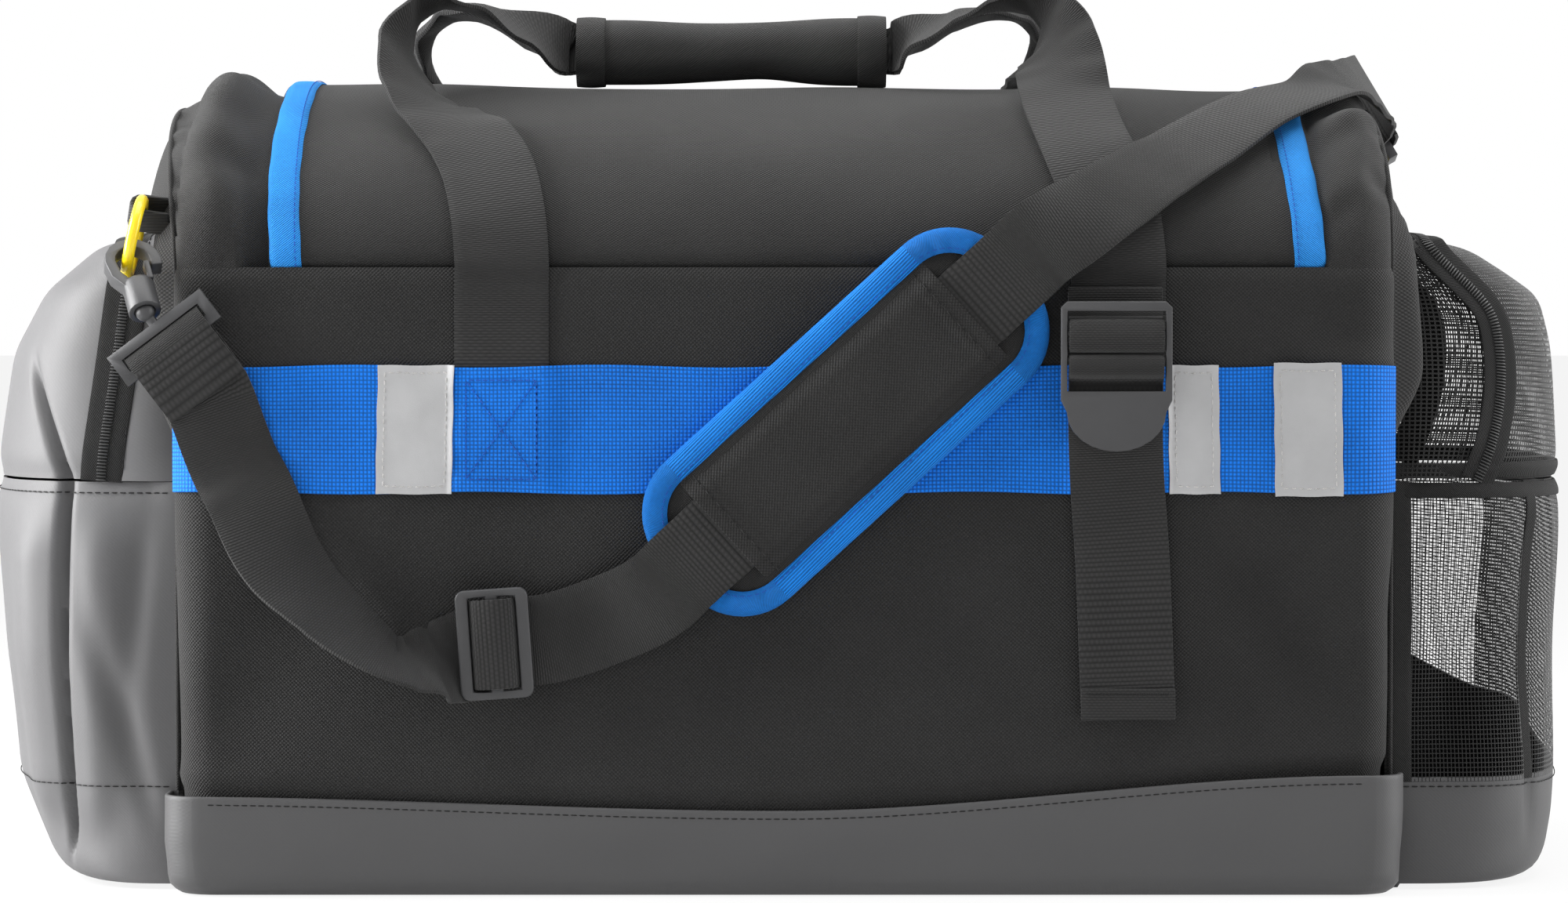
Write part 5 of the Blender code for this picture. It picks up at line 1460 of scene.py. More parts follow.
        def place(u: Array, v: Array, out: float = 0.0, x0: float = low.x, x1: float = high.x) -> Array:
            angle = np.radians(first + (last - first) * u)
            x = x0 + (x1 - x0) * v
            share = (x - low.x) / (high.x - low.x)
            c, s = np.cos(angle), np.sin(angle)
            square = np.power(np.abs(c) ** 2.4 + np.abs(s) ** 2.4, -1 / 2.4)
            points = np.stack((x, c * 0.02, s * 0.02), 1)
            swell = 0.0005 * ripple(points, 0.045, 71) - 0.0008 * bell((share - 0.5) / 0.25) + out
            lift = 0.0016 * bell((share - 0.62) / 0.12) * ease(-s) - 0.0012 * bell((share - 0.4) / 0.3) * ease(s)
            y = centre[1] + (depth + swell) * c * square
            z = centre[2] + (height + swell) * s * square + lift
            return np.stack((x, y, z), 1)

        made = sheet(f"{node}_pad", 44, 70, place, centre - np.array((0.02, 0, 0)))
        thicken(made, 0.0026, -1.0, 0.0008)
        smooth_shade(made)
        seat(dress(made, self.finishes.grip, "woven", node), body)
        for number, (start, end) in enumerate(((low.x - 0.0006, low.x + 0.0125), (high.x - 0.0125, high.x + 0.0006))):

            def cuff(u: Array, v: Array, start: float = start, end: float = end) -> Array:
                bulge = 0.0010 + 0.0004 * np.sin(math.pi * v)
                u = 0.06 + 0.94 * u if body == "lid" else 0.94 * u
                return place(u, v, 0.0, start, end) + (place(u, v, 1.0, start, end) - place(u, v, 0.0, start, end)) \
                    * bulge[:, None]

            band = sheet(f"{node}_cuff_{number}", 40, 10, cuff, centre + np.array(((start + end) / 2, 0, 0)))
            thicken(band, 0.0009, -1.0, 0.0003)
            smooth_shade(band)
            seat(dress(band, self.finishes.grip, "woven"), body)


# End pockets


@dataclass
class Pocket:
    """An end pocket: lower shell, flap, gusset and zip."""

    shell: Shell
    finishes: Finishes
    side: Side
    narrowing: float = 0.024
    thread: float = 0.00042

    def __post_init__(self) -> None:
        """Read the pocket's sizes from the frame and lay out its section."""
        lower = "left_pocket_shell" if self.side is Side.LEFT else "right_pocket_mesh"
        low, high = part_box(lower)
        self.name = f"{self.side.name.lower()}_pocket"
        self.squareness, inset = (3.2, 0.004) if self.side is Side.LEFT else (3.6, 0.0105)
        self.root = self.shell.half + 0.0012
        self.reach = max(abs(low.x), abs(high.x)) - self.root - inset
        self.half = high.y
        self.seam = high.z
        self.foot = 0.002
        self.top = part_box(f"{self.name}_gusset")[1].z
        line = soften(np.array(self.section()), 260, 0.014)
        steps = np.concatenate(([0], np.cumsum(np.linalg.norm(np.diff(line, axis=0), axis=1))))
        self.heights = steps / steps[-1]
        self.profile = line
        self.start = int(np.argmax(line[:, 1] > self.foot + 0.003))
        angles = np.linspace(0, 1, 400)
        ring = self.surface(angles, np.full_like(angles, self.at_height(0.120)), False)
        walk = np.concatenate(([0], np.cumsum(np.linalg.norm(np.diff(ring, axis=0), axis=1))))
        self.even = (walk / walk[-1], angles)

    def section(self) -> list[tuple[float, float]]:
        """Corners of the pocket's section as (reach, height): sloped on the left and boxy on the right."""
        reach, foot, top = self.reach, self.foot, self.top
        if self.side is Side.LEFT:
            lower = [(0.001, foot), (reach - 0.034, foot), (reach - 0.026, foot + 0.006), (reach - 0.010, 0.044),
                     (reach - 0.003, 0.100)]
            upper = [(reach - 0.006, top - 0.055), (reach - 0.020, top - 0.028), (reach - 0.046, top - 0.008)]
        else:
            lower = [(0.001, foot), (reach - 0.012, foot), (reach - 0.006, foot + 0.007), (reach - 0.004, 0.044),
                     (reach - 0.002, 0.090)]
            upper = [(reach - 0.002, top - 0.051), (reach - 0.006, top - 0.030), (reach - 0.020, top - 0.0205),
                     (0.045, top - 0.0095)]
        return lower + [(reach, 0.150), (reach, self.seam)] + upper + [(0.0, top)]

    def at_height(self, z: Array | float) -> Array:
        """Place along the section of a height on the outer side."""
        return np.interp(z, self.profile[self.start :, 1], self.heights[self.start :])

    def turn_at(self, z: Array, distance: Array | float) -> Array:
        """Turn at which the pocket's front lies a distance from the end wall, at each height."""
        reach = np.interp(z, self.profile[self.start :, 1], self.profile[self.start :, 0])
        share = np.clip(distance / np.maximum(reach, 1e-6), 1e-3, 0.9999)
        slope = np.power(np.power(share, -self.squareness) - 1, 1 / self.squareness)
        return np.arctan2(1, slope) / math.pi

    def evenly(self, share: Array) -> Array:
        """Turn for an even share of the way round the pocket."""
        return np.interp(share, *self.even)

    def surface(self, turn: Array, height: Array, soft: bool = True, out: Array | float = 0.0) -> Array:
        """Places on the pocket's outside.

        Args:
            turn: From 0 at the front edge to 1 at the back edge.
            height: Place along the section, from 0 at the foot to 1 at the top.
            soft: Whether folds are added.
            out: Distance off the cloth.

        Returns:
            The places.
        """
        reach = np.interp(height, self.heights, self.profile[:, 0])
        z = np.interp(height, self.heights, self.profile[:, 1])
        c, s = np.cos(math.pi * turn), np.sin(math.pi * turn)
        square = np.power(np.abs(c) ** self.squareness + np.abs(s) ** self.squareness, -1 / self.squareness)
        half = self.half - self.narrowing * ease((z - 0.150) / 0.120)
        off = out + (self.folds(turn, z) if soft else 0.0)
        x = self.side.value * (self.root + reach * s * square + off * s * square)
        y = -(half + off * np.minimum(1, 3 * s + 0.1)) * c * square
        rise = off * ease((z - self.top + 0.050) / 0.045) * 0.7
        return np.stack((x, y, z + rise), 1)

    def folds(self, turn: Array, z: Array) -> Array:
        """Soft folds of the pocket's cloth."""
        points = np.stack((turn * 0.47, 0 * turn + 0.2 * self.side.value, z + 0 * turn), 1)
        inner = ease(turn / 0.05) * ease((1 - turn) / 0.05)
        body = ease(z / 0.030) * ease((self.top - 0.004 - z) / 0.03)
        lower = ease((self.seam - 0.006 - z) / 0.03) * ease((z - 0.012) / 0.03)
        sag = 0.0026 * ripple(points, 0.11, 81 + self.side.value)
        off_corner = turn - self.corner(z)
        if self.side is Side.LEFT:
            crease = -0.0062 * bell(off_corner / 0.008) * ease((0.236 - z) / 0.03) * ease((z - 0.003) / 0.012)
            cheek = 0.0040 * bell((off_corner - 0.055) / 0.035) + 0.0022 * bell((off_corner + 0.050) / 0.030)
            hollow = -0.0040 * dent(turn, z / 0.47, (0.085, 0.15), (0.10, 0.022), 64)
            hollow -= 0.0032 * dent(turn, z / 0.47, (0.060, 0.27), (0.09, 0.020), 100)
            sag = 0.8 * sag + crease + (cheek + hollow) * lower
        else:
            crease = -0.0026 * bell(off_corner / 0.010) * lower
            sag = 0.6 * sag + crease - 0.0040 * dent(turn, z / 0.47, (0.10, 0.22), (0.09, 0.05), 70) * lower
        seam = -0.0024 * bell((z - self.seam) / 0.007)
        return (sag * body + seam) * inner

    def corner(self, z: Array) -> Array:
        """Turn of the pocket's front corner at each height."""
        if self.side is Side.LEFT:
            return self.turn_at(z, 0.0507 + 0.016 * ease((z - 0.165) / 0.065))
        return self.turn_at(z, 0.0625)

    def zip_reach(self, z: Array) -> Array:
        """Distance of the zip's line from the end wall at each height."""
        share = np.clip((z - self.seam) / (self.top - self.seam), 0, 1)
        if self.side is Side.LEFT:
            return 0.035 - 0.015 * share
        return 0.0385 + 0.0115 * np.sin(math.pi * np.minimum(share * 1.1, 1)) - 0.021 * ease((share - 0.62) / 0.36)

    def zip_turn(self, height: Array) -> Array:
        """Turn at which the zip's line crosses each height at the front."""
        z = np.interp(height, self.heights, self.profile[:, 1])
        return self.turn_at(z, self.zip_reach(z))

    def zip_top(self) -> float:
        """Place along the section where the zip passes over the pocket's top."""
        start = float(self.at_height(self.seam))
        tries = np.linspace(start, 0.995, 500)
        reach = np.interp(tries, self.heights, self.profile[:, 0])
        z = np.interp(tries, self.heights, self.profile[:, 1])
        inside = self.zip_reach(z) < 0.97 * reach
        return float(tries[inside][-1])

    def zip_line(self, count: int = 70) -> Array:
        """The zip's line from the front seam over the top to the back seam."""
        start, last = float(self.at_height(self.seam)), self.zip_top()
        rise = np.linspace(start, last, count)
        front = self.surface(self.zip_turn(rise), rise)
        edge = float(self.zip_turn(np.array([last]))[0])
        over_turn = np.linspace(edge, 1 - edge, count)
        over = self.surface(over_turn, np.full(count, last))
        back = self.surface(1 - self.zip_turn(rise[::-1]), rise[::-1])
        return soften(np.vstack((front, over[1:-1], back)), 3 * count, 0.016)

    def wall_line(self, samples: int) -> Array:
        """The pocket's edge on the end wall, from the front seam over the top to the back seam."""
        z = np.linspace(self.seam, self.top - 0.004, 60)
        half = self.half - self.narrowing * ease((z - 0.150) / 0.120)
        x = np.full_like(z, self.side.value * self.root)
        front = np.stack((x, -half, z), 1)
        back = np.stack((x, half, z), 1)[::-1]
        return soften(np.vstack((front, back)), samples, 0.030)

    def build(self) -> None:
        """Build and dress the pocket."""
        if self.side is Side.LEFT:
            self.build_coated()
        else:
            self.build_mesh()
        self.build_gusset()
        self.build_zip()

    def cloth(self, name: str, first: Callable[[Array], Array], last: Callable[[Array], Array],
              cells: tuple[int, int]) -> Piece:
        """A sheet round the pocket between two heights.

        Args:
            name: Name of the piece.
            first: Lower height for each turn.
            last: Upper height for each turn.
            cells: Cells round and up.

        Returns:
            The sheet, without thickness.
        """

        def place(u: Array, v: Array) -> Array:
            turn = self.evenly(u)
            low, high = first(turn), last(turn)
            return self.surface(turn, low + (high - low) * v)

        return sheet(name, *cells, place, (self.side.value * self.shell.half, 0, 0.12))

    def flap(self, name: str, cells: tuple[int, int]) -> Piece:
        """The flap's sheet, outside the zip's line."""
        start, last = float(self.at_height(self.seam + 0.0008)), self.zip_top()

        def place(u: Array, v: Array) -> Array:
            height = start + (last - start) * v
            edge = self.zip_turn(height) + 0.004
            low, high = np.interp(edge, self.even[1], self.even[0]), np.interp(1 - edge, self.even[1], self.even[0])
            return self.surface(self.evenly(low + (high - low) * u), height)

        return sheet(name, *cells, place, (self.side.value * self.shell.half, 0, 0.16))

    def stitches(self, name: str, z: float, body: str, out: float = 0.0006) -> None:
        """A row of stitches round the pocket at one height."""
        turn = self.evenly(np.linspace(0.01, 0.99, 400))
        height = np.full_like(turn, float(self.at_height(z)))
        line = self.surface(turn, height, True, out)
        inner = self.surface(turn, height, True, out - 0.002)
        facing = line - inner
        facing /= np.linalg.norm(facing, axis=1)[:, None]
        thread = row_of(name, (0.0026, 0.0006, 0.0005), line, facing, 0.0037)
        seat(dress(thread, self.finishes.dark_thread, "coated"), body)

    def build_coated(self) -> None:
        """The coated lower shell and flap, with a topstitched seam and a foot seam."""
        top = float(self.at_height(self.seam - 0.0003))
        made = self.cloth(f"{self.name}_cloth", lambda turn: 0 * turn, lambda turn: 0 * turn + top, (260, 100))
        thicken(made, 0.0016)
        smooth_shade(made, 60)
        seat(dress(made, self.finishes.pale_coated, "coated", f"{self.name}_shell"), "bag")
        flap = self.flap(f"{self.name}_flap_cloth", (220, 60))
        thicken(flap, 0.0016)
        smooth_shade(flap, 60)
        seat(dress(flap, self.finishes.pale_coated, "coated", f"{self.name}_flap"), f"{self.side.name.lower()}_flap")
        self.stitches(f"{self.name}_seam_stitch", self.seam - 0.0050, "bag")
        self.stitches(f"{self.name}_foot_stitch", 0.0440, "bag")

    def foot_top(self, turn: Array) -> Array:
        """Height of the mesh pocket's coated foot: low in front, higher at the back."""
        return 0.048 + 0.020 * ease((turn - 0.30) / 0.40) + 0.030 * ease((turn - 0.70) / 0.30)

    def build_mesh(self) -> None:
        """The coated foot, the open mesh and the mesh flap with their dark bindings."""
        foot = self.cloth("right_pocket_foot_cloth", lambda turn: 0 * turn,
                          lambda turn: self.at_height(self.foot_top(turn)), (150, 40))
        thicken(foot, 0.0016)
        smooth_shade(foot, 60)
        seat(dress(foot, self.finishes.coated, "coated", "right_pocket_base"), "bag")
        top = float(self.at_height(self.seam))
        net = self.cloth("right_pocket_net", lambda turn: self.at_height(self.foot_top(turn) - 0.002),
                         lambda turn: 0 * turn + top, (238, 64))
        lattice(net, self.thread, self.thread * 2.4)
        seat(dress(net, self.finishes.net, "mesh", "right_pocket_mesh"), "bag")
        flap = self.flap("right_pocket_flap_net", (200, 62))
        lattice(flap, self.thread * 1.7, self.thread * 2.1)
        seat(dress(flap, self.finishes.net, "mesh", "right_pocket_flap"), "right_flap")
        self.binding("right_pocket_seam_tape", self.seam - 0.0072, self.seam - 0.0004, "bag")
        self.binding("right_pocket_flap_tape", self.seam + 0.0012, self.seam + 0.0080, "right_flap")
        turn = self.evenly(np.linspace(0.005, 0.995, 400))
        height = self.at_height(self.foot_top(turn) - 0.0040)
        line = self.surface(turn, height, True, 0.0006)
        facing = line - self.surface(turn, height, True, -0.002)
        facing /= np.linalg.norm(facing, axis=1)[:, None]
        thread = row_of("right_pocket_foot_stitch", (0.0026, 0.0006, 0.0005), line, facing, 0.0037)
        seat(dress(thread, self.finishes.dark_thread, "coated"), "bag")
        for number, (distance, width, front) in enumerate(((0.0050, 0.009, True), (0.0625, 0.006, True),
                                                           (0.0050, 0.009, False))):
            z = np.linspace(0.046 if front else 0.094, self.seam - 0.0003, 40)
            rise = self.at_height(z)
            turns = self.turn_at(z, distance) if front else 1 - self.turn_at(z, distance)
            points = self.surface(turns, rise, True, 0.0008)
            facing = points - self.surface(turns, rise, True, -0.002)
            tape = ribbon(f"right_pocket_upright_{number}", [(p, n, width) for p, n in zip(points, facing)], 0.0010, 4)
            seat(dress(tape, self.finishes.zip_tape, "zip"), "bag")

    def binding(self, name: str, low: float, high: float, body: str) -> None:
        """A dark tape round the pocket between two heights."""

        def place(u: Array, v: Array) -> Array:
            turn = self.evenly(u)
            height = self.at_height(low + (high - low) * v)
            return self.surface(turn, height, True, 0.0010 + 0.0008 * np.sin(math.pi * v))

        made = sheet(name, 160, 8, place, (self.side.value * self.shell.half, 0, 0.16))
        thicken(made, 0.0016, -1.0, 0.0004)
        smooth_shade(made, 60)
        seat(dress(made, self.finishes.zip_tape, "zip"), body)

    def build_gusset(self) -> None:
        """The strip between the end wall and the zip."""
        samples = 180
        inner = self.wall_line(samples)
        outer = soften(self.zip_line(), samples, 0.004)

        def place(u: Array, v: Array) -> Array:
            k = np.clip(u * (samples - 1), 0, samples - 1)
            near = np.stack([np.interp(k, np.arange(samples), inner[:, c]) for c in range(3)], 1)
            far = np.stack([np.interp(k, np.arange(samples), outer[:, c]) for c in range(3)], 1)
            span = near + (far - near) * v[:, None]
            out = span - np.array((self.side.value * self.shell.half, 0, 0.170))
            out /= np.linalg.norm(out, axis=1)[:, None]
            return span + out * (0.0022 * np.sin(math.pi * v))[:, None]

        coated = self.side is Side.LEFT
        cells = (150, 16) if coated else (240, 20)
        made = sheet(f"{self.name}_gusset_cloth", *cells, place, (self.side.value * self.shell.half, 0, 0.16))
        if coated:
            thicken(made, 0.0014)
            smooth_shade(made, 60)
            dress(made, self.finishes.pale_coated, "coated", f"{self.name}_gusset")
        else:
            lattice(made, self.thread * 1.8, self.thread * 1.8)
            dress(made, self.finishes.net, "mesh", f"{self.name}_gusset")
        seat(made, "bag")
        inset = np.full(160, 0.72)
        share = np.linspace(0.01, 0.99, 160)
        line = place(share, inset)
        facing = line - np.array((self.side.value * self.shell.half, 0, 0.170))
        facing /= np.linalg.norm(facing, axis=1)[:, None]
        thread = row_of(f"{self.name}_gusset_stitch", (0.0026, 0.0006, 0.0005), line + facing * 0.0003, facing, 0.0037)
        seat(dress(thread, self.finishes.dark_thread, "coated"), "bag")

    def build_zip(self) -> None:
        """The zip's tape and coil along its line."""
        line = self.zip_line()
        facing = line - np.array((self.side.value * (self.shell.half + 0.010), 0, 0.190))
        facing /= np.linalg.norm(facing, axis=1)[:, None]
        stations = [(p + n * 0.0010, n, 0.019 if self.side is Side.LEFT else 0.015) for p, n in zip(line, facing)]
        tape = ribbon(f"{self.name}_zip_tape", stations, 0.0010, 6)
        seat(dress(tape, self.finishes.zip_tape, "zip"), "bag")
        teeth = row_of(f"{self.name}_zip_coil", (0.0044, 0.0010, 0.0013), line + facing * 0.0017, facing, 0.0014, True)
        seat(dress(teeth, self.finishes.coil, "zip"), "bag")


# Straps


@dataclass
class CompressionStrap:
    """The ladder lock on the right with its sewn loop, threaded webbing and hanging tail."""

    shell: Shell
    finishes: Finishes
    thickness: float = 0.0015
    bar_drops: tuple[float, float] = (0.0135, 0.0250)
    bar: float = 0.0016
    hem: float = 0.013
    drift: float = 0.006

    def wrap(self, centre: Array, first: float, last: float, tall: float, width: float) -> list[Station]:
        """Stations round a bar between two angles from straight back, bulging up and down."""
        deep = self.bar + 0.0005 + self.thickness
        found = []
        for angle in np.radians(np.linspace(first, last, 18)):
            c, s = math.cos(angle), math.sin(angle)
            found.append((centre + np.array((0, c * deep, s * tall)), (0, c / deep, s / tall), width))
        return found

    def build(self) -> None:
        """Build and dress the lock, loop, webbing and tail."""
        low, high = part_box("ladder_lock")
        loop_low, loop_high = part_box("buckle_loop")
        tail_low, tail_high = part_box("strap_tail")
        x, y = (low.x + high.x) / 2, (low.y + high.y) / 2
        width = loop_high.x - loop_low.x
        lock = refined("ladder_lock", 0.0009)
        seat(dress(lock, self.finishes.moulded, "moulded", "ladder_lock"), "ladder_lock")
        bars = [np.array((x, y, high.z - drop)) for drop in self.bar_drops]
        near = loop_high.y - self.thickness / 2
        far = near - self.thickness - 0.0006
        top = loop_high.z

        def at(depth: float, z: float, facing: Sequence[float] = FORWARD, shift: float = 0.0) -> Station:
            return ((x + shift, depth, z), facing, width)

        loop = smooth([at(near, top, BACKWARD), at(near, bars[0][2] + 0.004, BACKWARD)], 6)[:-1]
        loop += self.wrap(bars[0] - np.array((0, 0, 0.001)), -40, -262, 0.0066, width)
        loop += smooth([at(far - 0.002, bars[0][2] + 0.0065), at(far, top - 0.006), at(far, top + 0.002)], 5)
        made = ribbon("buckle_webbing", loop, self.thickness, 8)
        seat(dress(made, self.finishes.webbing, "webbing", "buckle_loop"), "bag")

        foot = high.z - 0.047
        behind = y + (high.y - low.y) / 2 + 0.0004 + self.thickness / 2
        hanging = behind + self.thickness + 0.001
        run = [at(behind, foot), at(behind, bars[1][2] - 0.009)]
        run += self.wrap(bars[1] - np.array((0, 0, 0.0026)), -110, -340, 0.0046, width)
        run += [at(hanging, bars[1][2] - 0.0060, BACKWARD), at(hanging, foot, BACKWARD)]
        roll = ribbon("lock_webbing", run, self.thickness, 8)
        seat(dress(roll, self.finishes.webbing, "webbing", "threaded_strap"), "ladder_lock")

        rest = tail_high.y - self.thickness / 2
        line = [at(hanging, foot - 0.001), at(hanging, foot - 0.008), at(rest - 0.001, foot - 0.030, shift=0.001),
                at(rest - 0.0016, (foot + tail_low.z) / 2, shift=self.drift * 0.55),
                at(rest - 0.001, tail_low.z + self.hem, shift=self.drift * 0.9),
                at(rest - 0.0012, tail_low.z, shift=self.drift)]
        tail = ribbon("tail_webbing", smooth(line, 9), self.thickness, 8, 0.0003)
        dress(tail, self.finishes.webbing, "webbing", "strap_tail")
        bend(tail, "ladder_lock", "bag")
        hem = [at(rest - 0.0012 - self.thickness, z, shift=self.drift * 0.95)
               for z in np.linspace(tail_low.z - 0.0002, tail_low.z + self.hem, 8)]
        fold = ribbon("tail_hem", hem, self.thickness, 8)
        seat(dress(fold, self.finishes.webbing, "webbing"), "bag")
        z = np.full(60, tail_low.z + self.hem - 0.0022)
        across = np.linspace(x - width / 2 + 0.002, x + width / 2 - 0.002, 60) + self.drift * 0.93
        line = np.stack((across, np.full(60, rest - 0.0014 - 1.5 * self.thickness), z), 1)
        thread = row_of("tail_stitch", (0.0022, 0.0006, 0.0005), line, np.tile(FORWARD, (60, 1)), 0.0030)
        seat(dress(thread, self.finishes.dark_thread, "webbing"), "bag")


@dataclass
class ShoulderStrap:
    """The shoulder strap with its pad, adjuster, hooks and rings."""

    shell: Shell
    finishes: Finishes
    thickness: float = 0.0016
    width: float = 0.038
    on_wall: float = 0.005
    pad_middle: tuple[float, float] = (0.0262, 0.2023)
    pad_degrees: float = 42.3
    pad_size: tuple[float, float, float] = (0.196, 0.079, 0.007)
    pad_foot: float = 0.003
    pad_corner: float = 0.030
    glide_degrees: float = 4.0
    lid_split: float = 0.180

    def pad_point(self, along: Array | float, across: Array | float, out: Array | float) -> Array:
        """Places on the pad: along it, across it and out from the wall."""
        turn = math.radians(self.pad_degrees)
        c, s = math.cos(turn), math.sin(turn)
        along, across, out = np.broadcast_arrays(along, across, out)
        return np.stack((self.pad_middle[0] + along * c - across * s, self.shell.front - out,
                         self.pad_middle[1] + along * s + across * c), -1)

    @property
    def strap_out(self) -> float:
        """Distance of the strap's middle in front of the wall where it lies on the pad."""
        return self.pad_foot + self.pad_size[2] + 0.0006 + self.thickness / 2

    def build(self) -> None:
        """Build and dress the strap and all that is on it."""
        self.build_strap()
        self.build_pad()
        self.build_glide()
        self.build_ends()

    def eye_bar(self, side: Side) -> tuple[Array, Array, Array]:
        """Middle of an eye's bar, the strap's way from it, and the way that the strap faces."""
        name = f"{side.name.lower()}_hook_swivel"
        origin = next(np.array(j["pos_m"]) for j in frame["joints"] if j["name"] == name)
        if side is Side.LEFT:
            way, face = np.array((0.60, 0.0, -0.80)), np.array((0.0, -1.0, 0.0))
        else:
            way, face = np.array((-0.03, -0.98, 0.20)), np.array((0.86, 0.0, 0.50))
        way /= np.linalg.norm(way)
        return origin + way * 0.0187, way, face / np.linalg.norm(face)

    def fold(self, side: Side, tail: float) -> list[Station]:
        """Stations of webbing sewn round an eye's bar, from its cut end to the running strap."""
        bar, way, face = self.eye_bar(side)
        radius = 0.0045 * 0.5 * math.sqrt(2) + 0.0004 + self.thickness / 2
        near = self.thickness / 2 + 0.0004
        path = [(bar + way * tail + face * 2.2 * near, face, self.width),
                (bar + way * radius * 2.5 + face * radius, face, self.width)]
        for angle in np.linspace(0, math.pi, 9):
            out = face * math.cos(angle) - way * math.sin(angle)
            path.append((bar + out * radius - way * 0.0030 * math.sin(angle), out, self.width))
        path.append((bar + way * radius * 2.5 - face * radius, -face, self.width))
        path.append((bar + way * tail - face * near * 0.2, -face, self.width))
        return path

    def build_strap(self) -> None:
        """The strap from the left eye to the right one, in two runs that meet on the lid."""
        shell = self.shell
        glide_low, glide_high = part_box("tri_glide")
        glide = ((glide_low.x + glide_high.x) / 2, (glide_low.z + glide_high.z) / 2)

        def wall(x: float, z: float, twist: float = 0.0, out: float = self.on_wall) -> Station:
            return ((x, shell.front - out, z), (0.0, 1.0, twist), self.width)

        def on_pad(along: float) -> Station:
            return (self.pad_point(along, 0.0, self.strap_out), BACKWARD, self.width)

        def over(x: float, degrees: float, out: float) -> Station:
            turn = math.radians(degrees)
            place = shell.arch(np.array([x]), np.array([turn]), out)[0]
            return (place, -shell.arch_facing(turn), self.width)

        start = -self.pad_size[0] / 2 - 0.008
        end = self.pad_size[0] / 2 + 0.012
        fold = self.fold(Side.LEFT, 0.026)
        run = [wall(-0.2345, 0.1870, -0.10, 0.0045), wall(-0.2262, 0.1715, -0.45, 0.0080),
               wall(-0.2125, 0.1440, -1.1, 0.0145), wall(-0.1915, 0.1220, -1.8, 0.0180),
               wall(-0.1690, 0.1045, -2.5, 0.0192), wall(-0.1570, 0.1000, -1.4, 0.0155),
               wall(-0.1475, 0.0995, -0.5, 0.0080), wall(-0.1385, 0.1020, -0.1, 0.0045),
               wall(*glide), wall(-0.1000, 0.1103), wall(-0.0760, 0.1180), on_pad(start - 0.004), on_pad(start + 0.02),
               on_pad(0.0), on_pad(end - 0.02), on_pad(end + 0.004)]
        lid = [over(0.138, 19.5, 0.0072), over(0.157, 28, 0.0062), over(0.175, 36, 0.0048), over(0.2066, 52.5, 0.0045),
               over(0.2370, 65.0, 0.0042)]
        bar, way, face = self.eye_bar(Side.RIGHT)
        shoulder = bar + way * 0.045
        corner = [((0.2500, -0.054, 0.3505), (-0.28, 0.46, -0.82), self.width),
                  ((0.2600, -0.031, 0.3490), (-0.55, 0.38, -0.70), self.width),
                  ((0.2675, 0.003, 0.3495), (-0.75, 0.18, -0.60), self.width)]
        last = list(reversed(self.fold(Side.RIGHT, 0.022)))
        whole = smooth([fold[-1]] + run + lid + corner + [(shoulder, -face, self.width), last[0]], 8)
        split = next(k for k, s in enumerate(whole) if s[0][0] > self.lid_split)
        lower = ribbon("strap_webbing_lower", fold + whole[1:] + last[1:], self.thickness, 8)
        upper = cut_off(lower, "strap_webbing_upper", whole[split][0], whole[split + 1][0] - whole[split][0])
        dress(lower, self.finishes.webbing, "webbing", "strap_lower", "strap_pad_run", "strap_over_lid")
        bend(lower, "bag", "lid")
        dress(upper, self.finishes.webbing, "webbing", "strap_over_cap")
        bend(upper, "lid", "bag")
        for side, tail in ((Side.LEFT, 0.026), (Side.RIGHT, 0.022)):
            bar, way, face = self.eye_bar(side)
            across = np.cross(way, face)
            ends = np.linspace(-self.width / 2 + 0.003, self.width / 2 - 0.003, 40)
            spot = bar + way * (tail - 0.004) + face * (2.2 * (self.thickness / 2 + 0.0004) + self.thickness * 0.55)
            line = spot + across * ends[:, None]
            thread = row_of(f"{side.name.lower()}_fold_stitch", (0.0022, 0.0006, 0.0005), line,
                            np.tile(face, (40, 1)), 0.0030)
            seat(dress(thread, self.finishes.dark_thread, "webbing"), "bag")

    def rounded(self, inset: float, steps: int = 14) -> Array:
        """The pad's outline, drawn in by an inset, as (along, across)."""
        length, width = self.pad_size[0] / 2 - inset, self.pad_size[1] / 2 - inset
        radius = self.pad_corner - inset
        points = []
        for corner, (sx, sy) in enumerate(((1, 1), (-1, 1), (-1, -1), (1, -1))):
            for turn in math.pi / 2 * (corner + np.linspace(0, 1, steps)):
                points.append((sx * (length - radius) + radius * math.cos(turn),
                               sy * (width - radius) + radius * math.sin(turn)))
        return np.array(points)

    def over_seam(self, made: Piece) -> Piece:
        """Bake a piece of the pad in place, and log that it lies over the lid's seam, between the bag and the lid."""
        return bend(made, "bag", "lid")

    def build_pad(self) -> None:
        """The stuffed pad, its bound edge and the sleeve over the strap."""
        foam = self.build_foam()
        dress(foam, self.finishes.lining, "foam", "pad_base")
        self.over_seam(foam)
        self.build_pad_edge()
        self.build_sleeve()

